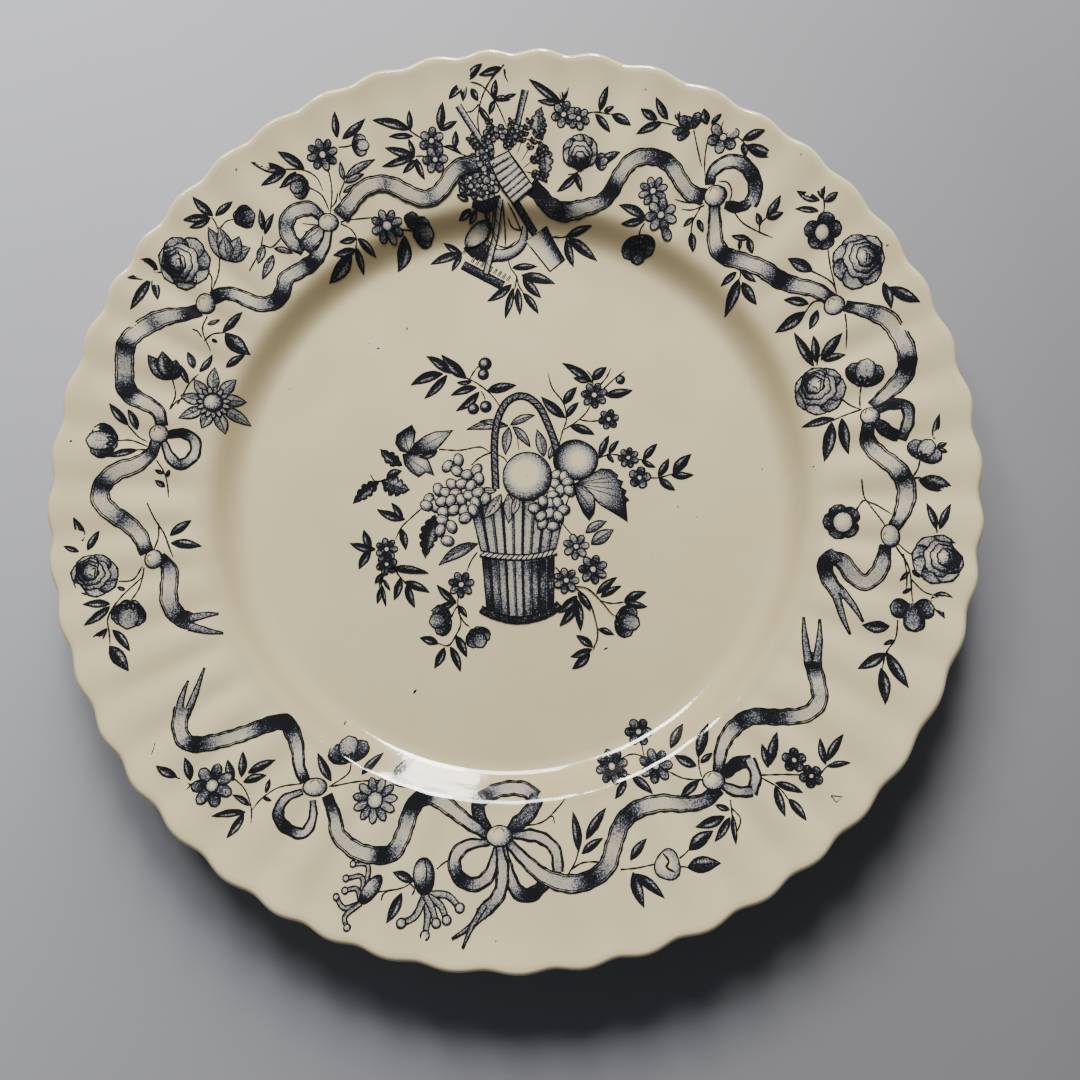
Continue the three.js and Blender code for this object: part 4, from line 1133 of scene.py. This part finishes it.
def draw_bottom_garland():
    art = Drawing("print_garland_bottom")
    bottom_left_sprays(art)
    bottom_right_sprays(art)

    # Cut end at the left, then the ribbon through the first knot to the great bow.
    forked_end(art, (-89.9, -63.4), ((-89.0, -54.2), (-85.0, -50.6)), 4.0)
    ribbon(art, [(-89.9, -61.6), (-90.4, -66.4), (-88.6, -70.4), (-85, -71.8), (-79, -70.8), (-73, -69),
                 (-67, -66.7), (-62, -65.8), (-59.5, -68.9), (-58, -73), (-56.9, -78), (-54.8, -82)], 4.1,
           (0.5, 0.15, 0.2, 0.85, 0.4, 0.05, 0.1, 0.6, 0.8, 0.95, 0.4, 0.05, 0.15, 0.9), pinch=(1, 0.6))
    ribbon(art, [(-55.4, -84.6), (-60, -86.6), (-61.4, -90.6), (-59, -94.2), (-54.4, -95.6), (-52.2, -92),
                 (-52.6, -87)], 2.7, (0.5, 0.2, 0.6, 0.8, 0.2, 0.1, 0.5), pinch=(0.5, 0.5))
    ribbon(art, [(-48.8, -85.6), (-46.2, -91), (-44.8, -96), (-40.4, -99.6), (-34.6, -101.2),
                 (-29.8, -100.6), (-27.2, -96), (-25.5, -90), (-23, -86.6), (-19.2, -86.2), (-15, -88.8),
                 (-9, -93), (-3.4, -96)], 4.4,
           (0.95, 0.6, 0.05, 0.1, 0.15, 0.05, 0.9, 0.4, 0.1, 0.35, 0.9, 0.85, 0.1, 0.05, 0.1, 0.3, 0.8),
           pinch=(0.6, 0.6))

    # The great bow: three pairs of loops and two falling ends.
    ribbon(art, [(-3.6, -94.6), (-6.6, -90.4), (-6.4, -87), (-1.0, -84.4), (5.2, -84.2), (9.2, -86.4)], 3.6,
           (0.7, 0.6, 0.8, 0.2, 0.1, 0.6), pinch=(0.4, 1))
    ribbon(art, [(9.4, -86.0), (7.0, -90.4), (1.6, -94.8)], 3.8, (0.5, 0.5, 0.7), pinch=(0.9, 0.4))
    ribbon(art, [(-3.4, -97.8), (-9.6, -98.6), (-12.8, -102), (-11.4, -106.6), (-7, -108.4), (-3.2, -105.8),
                 (-1.4, -99)], 3.4, (0.6, 0.1, 0.15, 0.85, 0.3, 0.1, 0.5), pinch=(0.4, 0.4))
    ribbon(art, [(2.4, -95.8), (9.6, -96.2), (14.4, -99.4), (15.4, -105)], 3.0, (0.6, 0.15, 0.1, 0.3),
           pinch=(0.4, 0.9))
    ribbon(art, [(0.4, -98.6), (1.6, -104.8), (4.6, -110), (8.4, -110.6), (12.4, -107.4)], 3.4,
           (0.5, 0.05, 0.3, 0.95, 0.6), pinch=(0.4, 0.8))
    ribbon(art, [(1.4, -97.4), (6.5, -102.2), (11.7, -106.2), (18.4, -107.8), (24.6, -106.4), (28.6, -103),
                 (30.2, -98.3), (32.6, -92.4), (36.8, -88.8), (43, -87), (49.4, -87.2), (54.8, -86),
                 (58.8, -82.8)], 4.4,
           (0.6, 0.1, 0.05, 0.15, 0.2, 0.8, 0.35, 0.1, 0.4, 0.75, 0.1, 0.05, 0.3, 0.5, 0.95),
           pinch=(0.5, 0.7))
    ribbon(art, [(-0.8, -98.6), (0.4, -105), (-0.6, -111), (-5.2, -115.8)], 3.3, (0.5, 0.1, 0.2, 0.6),
           pinch=(0.5, 1))
    forked_end(art, (-4.6, -115.2), ((-12.6, -121.6), (-9.6, -123.8)), 3.4)
    knot(art, -0.8, -96.2, 3.6, 0.05, 0.75)

    # Last knot, its loop, and the ribbon that climbs to its cut end at the right.
    ribbon(art, [(58.6, -79.4), (59.8, -72.6), (63, -67.4), (68.2, -64), (75.5, -64), (82.2, -63.2),
                 (85.8, -59.8), (86, -55.5), (85, -49.6), (84.8, -46.4)], 4.1,
           (0.9, 0.2, 0.05, 0.15, 0.75, 0.5, 0.8, 0.6, 0.05, 0.05, 0.3, 0.1, 0.8, 0.6), pinch=(0.6, 1))
    forked_end(art, (84.9, -47.8), ((83.2, -36.8), (87.4, -37.4)), 4.2)
    ribbon(art, [(60, -79.6), (63.6, -76.4), (67.6, -75.8)], 3.2, (0.7, 0.9, 0.4), pinch=(0.6, 0.9))
    ribbon(art, [(67, -75.2), (68.4, -79.6), (67, -84)], 2.8, (0.3, 0.15, 0.4))
    ribbon(art, [(67.4, -83.4), (63.4, -83.6), (59.4, -82)], 2.6, (0.5, 0.15, 0.5), pinch=(0.9, 0.6))
    each(knot, art, [
        (-52.2, -83.5, 3.2, 0.0, 0.75), (57.4, -80.9, 3.0, 0.1, 0.8),
    ])
    return art


def draw_strays():
    """Stray touches that the paper left round the motifs."""
    art = Drawing("print_strays")
    specks(art, [
        (-26.6, -57.4, 1.5, 0.9), (28.6, -45.2, 1.3, 0.4), (49.9, -4.2, 0.6, 0.0), (55.2, -7.2, 0.3, 0.6),
        (-30.9, 51.6, 1.0, 1.6), (-39.6, 45.6, 0.9, 0.3), (-42.4, 47.2, 0.5, 0.8), (-79.5, 95.9, 0.8, 1.2),
        (-96.8, -72.4, 4.2, 1.57), (94.0, -78.4, 1.5, 0.9), (108.0, 66.2, 0.8, 0.5), (87.6, 5.6, 0.6, 0.2),
        (-46.6, -66.4, 1.2, 1.3), (-1.0, -122.2, 0.7, 0.8), (-124.8, 14.2, 0.7, 0.5), (74.4, 6.6, 0.5, 0.9),
        (41.6, 116.4, 0.5, 0.3), (34.8, 116.0, 0.5, 0.3), (85.2, 94.0, 0.6, 0.2), (-66.6, 33.4, 0.4, 1.1),
    ])
    outline(art, [(87.2, -84.0), (90.0, -84.2), (88.4, -85.6)], FINE)
    return art


def draw_print():
    """Every motif of the underglaze print, each as its own drawing."""
    return [
        draw_basket(), draw_trophy(), draw_left_garland(), draw_right_garland(), draw_bottom_garland(),
        draw_strays(),
    ]


# ------------------------------------------------------------------ pieces


def face_normals(x, y):
    """Upward unit normals of the fluted face at plan points in millimetres."""
    step = 0.05
    slope_x = (face_height(x + step, y) - face_height(x - step, y)) / (2 * step)
    slope_y = (face_height(x, y + step) - face_height(x, y - step)) / (2 * step)
    normals = np.stack([-slope_x, -slope_y, np.ones_like(slope_x)], 1)
    return normals / np.linalg.norm(normals, axis=1)[:, None]


def make_piece(name, points, faces, material, slot):
    """A smooth-shaded mesh object from points in millimetres, riding on the plate's one body."""
    mesh = bpy.data.meshes.new(name)
    mesh.from_pydata((np.asarray(points) * MM).tolist(), [], faces)
    mesh.shade_smooth()
    mesh.materials.append(material)
    piece = bpy.data.objects.new(name, mesh)
    bpy.context.scene.collection.objects.link(piece)
    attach(piece, "root")
    return piece


def lay_on_plate(art, material):
    """Turns a drawing into a sheet that follows the plate's face, with the face's own shading."""
    plan = np.array(art.points)
    x, y = plan.T
    height = face_height(x, y) + np.array(art.lifts)
    faces = []
    for corners in art.faces:
        px, py = plan[list(corners)].T
        turned_left = np.sum(px * np.roll(py, -1) - py * np.roll(px, -1)) > 0
        faces.append(corners if turned_left else corners[::-1])
    piece = make_piece(art.name, np.column_stack([plan, height]), faces, material, "underglaze_print")
    ink = piece.data.attributes.new("ink", "FLOAT", "POINT")
    ink.data.foreach_set("value", np.array(art.inks, np.float32))
    piece.data.normals_split_custom_set_from_vertices(face_normals(x, y).tolist())
    return piece


TURN_STEPS = FLUTE_COUNT * 16
BACK_STEP = 2.4  # distance between the stations of the back
RIM_STEP = 1.1
COVE_STEP = 0.6


def station(radius, height, lift=0.0):
    """One point of a cross-section: radius, height and how far the flutes raise and spread it."""
    reach = smoothstep(radius, RIM_RADIUS - 20, RIM_RADIUS - 2)
    return (radius, height, lift * FLUTE_RISE, reach * SCALLOP_REACH)


def face_station(radius):
    return station(radius, profile_height(radius), flute_lift(radius))


def back_station(radius):
    share = smoothstep(radius, SHOULDER_RADIUS, RIM_RADIUS)
    wall = WALL_AT_SHOULDER + (WALL_AT_LIP - WALL_AT_SHOULDER) * share
    lift = smoothstep(radius, RIM_RADIUS - 14, RIM_RADIUS - 3)
    return station(radius, profile_height(radius) - wall, lift)


def lip_station(degrees):
    centre = RIM_RADIUS - LIP_RADIUS
    height = profile_height(centre) - LIP_RADIUS
    angle = math.radians(degrees)
    return station(centre + LIP_RADIUS * math.cos(angle), height + LIP_RADIUS * math.sin(angle), 1.0)


def outside_section():
    """From the foot ring's outer side, up the back, round the lip and over the face to the axis."""
    outer_edge = FOOT_RADIUS + FOOT_WIDTH / 2
    foot = [station(outer_edge, DRY_EDGE), station(outer_edge + 0.6, RECESS_HEIGHT * 0.5)]
    foot += [station(outer_edge + FOOT_DRAW, RECESS_HEIGHT)]
    back_foot = 80.5
    back = [back_station(radius) for radius in np.arange(back_foot, RIM_RADIUS - 2.5, BACK_STEP)]
    lip = [lip_station(degrees) for degrees in range(-66, 100, 12)]
    rim_foot = 92
    rim = [face_station(radius) for radius in np.arange(RIM_RADIUS - 2.8, rim_foot, -RIM_STEP)]
    cove = [face_station(radius) for radius in np.arange(rim_foot, WELL_RADIUS - 0.5, -COVE_STEP)]
    well = [face_station(radius) for radius in (74, 66, 56, 46, 36, 26, 16, 8, 3, 0)]
    return np.array(foot + back + lip + rim + cove + well)


def recess_section():
    """From the axis out to the foot ring's inner side."""
    inner_edge = FOOT_RADIUS - FOOT_WIDTH / 2
    flat = [station(radius, RECESS_HEIGHT) for radius in (0, 12, 30, 50, 66)]
    side = [station(inner_edge - FOOT_DRAW, RECESS_HEIGHT), station(inner_edge - 0.6, RECESS_HEIGHT * 0.5)]
    return np.array(flat + side + [station(inner_edge, DRY_EDGE)])


def inset(section, depth):
    """The same section moved into the wall, which lies on its left."""
    run = np.gradient(section[:, :2], axis=0)
    run /= np.hypot(run[:, 0], run[:, 1])[:, None]
    moved = section.copy()
    moved[:, 0] = np.where(section[:, 0] < 1e-6, 0, section[:, 0] - depth * run[:, 1])
    moved[:, 1] = section[:, 1] + depth * run[:, 0]
    return moved


def turned(section):
    """Points and faces of a section that starts and ends on the axis, turned with its flutes."""
    bearing = np.arange(TURN_STEPS) * 2 * math.pi / TURN_STEPS
    wave = flute_wave(bearing)
    rings = section[1:-1]
    radius = rings[:, :1] + rings[:, 3:] * wave
    height = rings[:, 1:2] + rings[:, 2:3] * wave
    points = np.stack([radius * np.cos(bearing), radius * np.sin(bearing), height], 2).reshape(-1, 3)
    points = np.vstack([points, [0, 0, section[0, 1]], [0, 0, section[-1, 1]]])
    faces = []
    for step in range(TURN_STEPS):
        after = (step + 1) % TURN_STEPS
        for ring in range(len(rings) - 1):
            low, high = ring * TURN_STEPS, (ring + 1) * TURN_STEPS
            faces.append((low + step, low + after, high + after, high + step))
        last = (len(rings) - 1) * TURN_STEPS
        faces.append((len(points) - 2, after, step))
        faces.append((len(points) - 1, last + step, last + after))
    return points, faces


def build_plate(glaze, biscuit):
    """The plate's three layers, each standing for the CAD node of the same name."""
    depth = GLAZE_THICKNESS + 0.02
    outside, recess = outside_section(), recess_section()
    resting = [station(FOOT_RADIUS + side * (FOOT_WIDTH / 2 - depth), 0.0) for side in (-1, 1)]
    body_section = np.vstack([inset(recess, depth), resting, inset(outside, depth)])
    outside_coat = np.vstack([inset(outside, GLAZE_THICKNESS)[::-1], outside])
    recess_coat = np.vstack([recess, inset(recess, GLAZE_THICKNESS)[::-1]])
    for name, section, material, slot in (
        ("earthenware_body", body_section, biscuit, "biscuit"),
        ("glaze_face_and_back", outside_coat, glaze, "glaze"),
        ("glaze_foot_recess", recess_coat, glaze, "glaze"),
    ):
        piece = make_piece("plate_" + name, *turned(section), material, slot)
        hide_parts(name)


# ------------------------------------------------------------------ materials


def new_material(name):
    material = bpy.data.materials.new(name)
    material.use_nodes = True
    nodes = material.node_tree.nodes
    return material, nodes, material.node_tree.links, nodes["Principled BSDF"]


def add_node(nodes, kind, **settings):
    """A shader node with its properties and, by socket name or number, its input values."""
    node = nodes.new(kind)
    inputs = settings.pop("inputs", {})
    for key, value in settings.items():
        setattr(node, key, value)
    for key, value in inputs.items():
        node.inputs[key].default_value = value
    return node


def millimetres(nodes, links):
    """Coordinates in millimetres that stay with the plate when it moves."""
    place = add_node(nodes, "ShaderNodeTexCoord")
    scale = add_node(nodes, "ShaderNodeVectorMath", operation="SCALE", inputs={"Scale": 1 / MM})
    links.new(place.outputs["Object"], scale.inputs[0])
    return scale.outputs[0]


def noise(nodes, links, place, scale, detail=2.0, roughness=0.5):
    inputs = {"Scale": scale, "Detail": detail, "Roughness": roughness}
    node = add_node(nodes, "ShaderNodeTexNoise", inputs=inputs)
    links.new(place, node.inputs["Vector"])
    return node.outputs["Fac"]


def ramp(nodes, links, value, low, high, low_to=0.0, high_to=1.0):
    """Maps a value from one range to another, held at both ends."""
    node = add_node(nodes, "ShaderNodeMapRange", inputs={1: low, 2: high, 3: low_to, 4: high_to})
    links.new(value, node.inputs[0])
    return node.outputs[0]


def combine(nodes, links, operation, first, second):
    node = add_node(nodes, "ShaderNodeMath", operation=operation)
    for socket, value in ((node.inputs[0], first), (node.inputs[1], second)):
        if isinstance(value, (int, float)):
            socket.default_value = value
        else:
            links.new(value, socket)
    return node.outputs[0]


def mix(nodes, links, share, first, second):
    """Mixes two colours, each a socket or a plain colour."""
    node = add_node(nodes, "ShaderNodeMix", data_type="RGBA")
    links.new(share, node.inputs["Factor"])
    for socket, value in ((node.inputs[6], first), (node.inputs[7], second)):
        if isinstance(value, tuple):
            socket.default_value = (*value, 1)
        else:
            links.new(value, socket)
    return node.outputs[2]


CREAM = (0.690, 0.602, 0.368)
CREAM_SHADE = (0.650, 0.556, 0.330)
# darker cream for the cove: pooled glaze together with painted shade for the cove's shadow
CREAM_POOLED_AND_SHADED = (0.400, 0.315, 0.170)
CREAM_STAIN = (0.530, 0.420, 0.250)
INK = (0.007, 0.0075, 0.009)
INK_WASH = (0.170, 0.212, 0.335)
IRON = (0.10, 0.075, 0.05)
BISCUIT = (0.60, 0.50, 0.36)
BISCUIT_WORN = (0.36, 0.30, 0.23)
# painted light on the floor: the lit colour at its left and the shaded colour at its right
FLOOR_PAINTED_LIT = (0.40, 0.41, 0.45)
FLOOR_PAINTED_SHADE = (0.22, 0.22, 0.24)
GLAZE_IOR = 1.85


def glaze_colour(nodes, links, place):
    """Cream glaze: cloudy, faint stains, iron specks, and a cove darkened by pooled glaze and painted shade.
    """
    clouds = ramp(nodes, links, noise(nodes, links, place, 0.045, 3), 0.35, 0.65)
    colour = mix(nodes, links, clouds, CREAM, CREAM_SHADE)
    stains = ramp(nodes, links, noise(nodes, links, place, 0.11, 5, 0.7), 0.66, 0.80, 0, 0.35)
    colour = mix(nodes, links, stains, colour, CREAM_STAIN)
    specks = add_node(nodes, "ShaderNodeTexVoronoi", inputs={"Scale": 0.16, "Randomness": 1.0})
    links.new(place, specks.inputs["Vector"])
    near = ramp(nodes, links, specks.outputs["Distance"], 0.018, 0.045, 1, 0)
    chosen = ramp(nodes, links, specks.outputs["Color"], 0.80, 0.84)
    specked = combine(nodes, links, "MULTIPLY", near, chosen)
    colour = mix(nodes, links, specked, colour, IRON)
    flat = add_node(nodes, "ShaderNodeVectorMath", operation="MULTIPLY", inputs={1: (1, 1, 0)})
    links.new(place, flat.inputs[0])
    reach = add_node(nodes, "ShaderNodeVectorMath", operation="LENGTH")
    links.new(flat.outputs[0], reach.inputs[0])
    radius = reach.outputs["Value"]
    # A band round the cove, darkest near its foot: pooled glaze and painted shade for the cove's shadow.
    inner = ramp(nodes, links, radius, WELL_RADIUS + 1, SHOULDER_RADIUS - 1)
    outer = ramp(nodes, links, radius, SHOULDER_RADIUS, SHOULDER_RADIUS + SHOULDER_TURN + 2, 0.6, 0)
    pooled_and_shaded = combine(nodes, links, "MULTIPLY", inner, outer)
    return mix(nodes, links, pooled_and_shaded, colour, CREAM_POOLED_AND_SHADED)


def ink_cover(nodes, links, place):
    """How much of the surface ink covers: dots of the engraving that grow with the drawn tone."""
    tone = add_node(nodes, "ShaderNodeAttribute", attribute_name="ink").outputs["Fac"]
    dots = noise(nodes, links, place, 2.6, 1.5, 0.6)
    limit = ramp(nodes, links, dots, 0.30, 0.70, 0.06, 0.94)
    gap = combine(nodes, links, "SUBTRACT", tone, limit)
    stipple = ramp(nodes, links, gap, -0.14, 0.10)
    soft = combine(nodes, links, "MULTIPLY", tone, 0.55)
    sharp = combine(nodes, links, "MULTIPLY", stipple, 0.45)
    both = combine(nodes, links, "ADD", soft, sharp)
    drawn = ramp(nodes, links, tone, 0.02, 0.10)
    wear = ramp(nodes, links, noise(nodes, links, place, 0.5, 4, 0.7), 0.30, 0.45, 0.90, 1.0)
    return combine(nodes, links, "MULTIPLY", combine(nodes, links, "MULTIPLY", both, drawn), wear)


def glaze_surface(nodes, links, shader, place):
    """Gloss of a hand-dipped glaze: slight ripples, and a soft orange peel in the highlights."""
    shader.inputs["IOR"].default_value = GLAZE_IOR
    smear = ramp(nodes, links, noise(nodes, links, place, 0.08, 4), 0.3, 0.7, 0.04, 0.09)
    links.new(smear, shader.inputs["Roughness"])
    ripple = combine(nodes, links, "MULTIPLY", noise(nodes, links, place, 0.07, 2), 0.10)
    peel = combine(nodes, links, "MULTIPLY", noise(nodes, links, place, 0.9, 2), 0.012)
    bump = add_node(nodes, "ShaderNodeBump", inputs={"Strength": 1.0, "Distance": MM})
    links.new(combine(nodes, links, "ADD", ripple, peel), bump.inputs["Height"])
    links.new(bump.outputs[0], shader.inputs["Normal"])


def glaze_material():
    material, nodes, links, shader = new_material("cream_glaze")
    place = millimetres(nodes, links)
    links.new(glaze_colour(nodes, links, place), shader.inputs["Base Color"])
    glaze_surface(nodes, links, shader, place)
    return material


def print_material():
    """The same glaze over blue-black transfer print."""
    material, nodes, links, shader = new_material("transfer_print_under_glaze")
    place = millimetres(nodes, links)
    cover = ink_cover(nodes, links, place)
    thick = ramp(nodes, links, cover, 0.05, 0.88)
    pigment = mix(nodes, links, thick, INK_WASH, INK)
    wetted = combine(nodes, links, "POWER", ramp(nodes, links, cover, 0.0, 0.75), 0.52)
    colour = mix(nodes, links, wetted, glaze_colour(nodes, links, place), pigment)
    links.new(colour, shader.inputs["Base Color"])
    glaze_surface(nodes, links, shader, place)
    return material


def biscuit_material():
    """Bare fired clay on the foot ring: matt, finely pitted and greyed by wear."""
    material, nodes, links, shader = new_material("worn_biscuit")
    place = millimetres(nodes, links)
    grain = noise(nodes, links, place, 1.6, 5, 0.7)
    worn = ramp(nodes, links, grain, 0.35, 0.7)
    links.new(mix(nodes, links, worn, BISCUIT, BISCUIT_WORN), shader.inputs["Base Color"])
    shader.inputs["Roughness"].default_value = 0.85
    bump = add_node(nodes, "ShaderNodeBump", inputs={"Strength": 0.6, "Distance": 0.1 * MM})
    links.new(grain, bump.inputs["Height"])
    links.new(bump.outputs[0], shader.inputs["Normal"])
    return material


def floor_material():
    """A plain matt floor with painted light: paler on its left side and darker to the right, as light falls
    off.
    """
    material, nodes, links, shader = new_material("pale_floor")
    place = millimetres(nodes, links)
    across = add_node(nodes, "ShaderNodeVectorMath", operation="DOT_PRODUCT", inputs={1: (0.99, 0.12, 0)})
    links.new(place, across.inputs[0])
    # Painted light falloff across the floor from left to right, with a little random tone added.
    drift = ramp(nodes, links, across.outputs["Value"], -190, 190)
    shade = combine(nodes, links, "MULTIPLY", noise(nodes, links, place, 0.02, 2), 0.1)
    share = combine(nodes, links, "ADD", drift, shade)
    links.new(mix(nodes, links, share, FLOOR_PAINTED_LIT, FLOOR_PAINTED_SHADE), shader.inputs["Base Color"])
    shader.inputs["Roughness"].default_value = 0.9
    return material


# ------------------------------------------------------------------ stage

FLOOR_HALF = 1.5
FLOOR_GAP = 0.0002
DAYLIGHT = (1.0, 0.985, 0.95)
SKYLIGHT = (0.80, 0.83, 0.90, 1)
SKY_STRENGTH = 0.10
CAMERA_PLACE = (0.0294, -0.0526, 0.2965)
CAMERA_TARGET = (0.01074, -0.01573, 0.0235)
CAMERA_LENS = 33.3


def make_floor():
    mesh = bpy.data.meshes.new("floor")
    low, high = -FLOOR_HALF, FLOOR_HALF
    corners = [(low, low, 0), (high, low, 0), (high, high, 0), (low, high, 0)]
    mesh.from_pydata(corners, [], [(0, 1, 2, 3)])
    mesh.materials.append(floor_material())
    floor = bpy.data.objects.new("floor", mesh)
    floor.location.z = -FLOOR_GAP
    bpy.context.scene.collection.objects.link(floor)


def aim(thing, target, upright):
    """Points an object's -Z axis at target, with the direction upright as near as can be to its +Y."""
    ahead = (Vector(target) - thing.location).normalized()
    right = ahead.cross(Vector(upright)).normalized()
    up = right.cross(ahead)
    thing.rotation_euler = Matrix((right, up, -ahead)).transposed().to_euler()


def make_window_pane(name, bearing, elevation, distance, size, power):
    """A soft rectangular light, placed by its direction from the middle of the plate in degrees."""
    lamp = bpy.data.lights.new(name, "AREA")
    lamp.shape = "RECTANGLE"
    lamp.size, lamp.size_y = size
    lamp.energy = power
    lamp.color = DAYLIGHT
    light = bpy.data.objects.new(name, lamp)
    around, up = math.radians(bearing), math.radians(elevation)
    flat = distance * math.cos(up)
    light.location = (flat * math.cos(around), flat * math.sin(around), distance * math.sin(up))
    bpy.context.scene.collection.objects.link(light)
    aim(light, (0, 0, 0), (0, 0, 1))


def make_lights():
    """A window behind the top of the plate, whose panes are the streak in the cove, and a dim room."""
    make_window_pane("window_middle", 94, 44, 0.8, (0.28, 0.26), 4.7)
    make_window_pane("window_bright_pane", 86, 45, 0.78, (0.12, 0.30), 3.1)
    make_window_pane("window_left", 120, 44, 0.8, (0.14, 0.22), 3.2)
    make_window_pane("window_low", 86, 20, 0.8, (0.17, 0.40), 5.0)
    world = bpy.data.worlds.new("room")
    world.use_nodes = True
    background = world.node_tree.nodes["Background"]
    background.inputs["Color"].default_value = SKYLIGHT
    background.inputs["Strength"].default_value = SKY_STRENGTH
    bpy.context.scene.world = world


def make_camera():
    """Handheld above the plate and a little to the near right of it, looking almost straight down."""
    lens = bpy.data.cameras.new("camera")
    lens.sensor_width = 36
    lens.lens = CAMERA_LENS
    lens.clip_start = 0.01
    camera = bpy.data.objects.new("camera", lens)
    camera.location = CAMERA_PLACE
    aim(camera, CAMERA_TARGET, (0, 1, 0))
    bpy.context.scene.collection.objects.link(camera)
    bpy.context.scene.camera = camera


# ------------------------------------------------------------------ scene

make_camera()
make_lights()
make_floor()
build_plate(glaze_material(), biscuit_material())
ink_under_glaze = print_material()
for drawing in draw_print():
    lay_on_plate(drawing, ink_under_glaze)
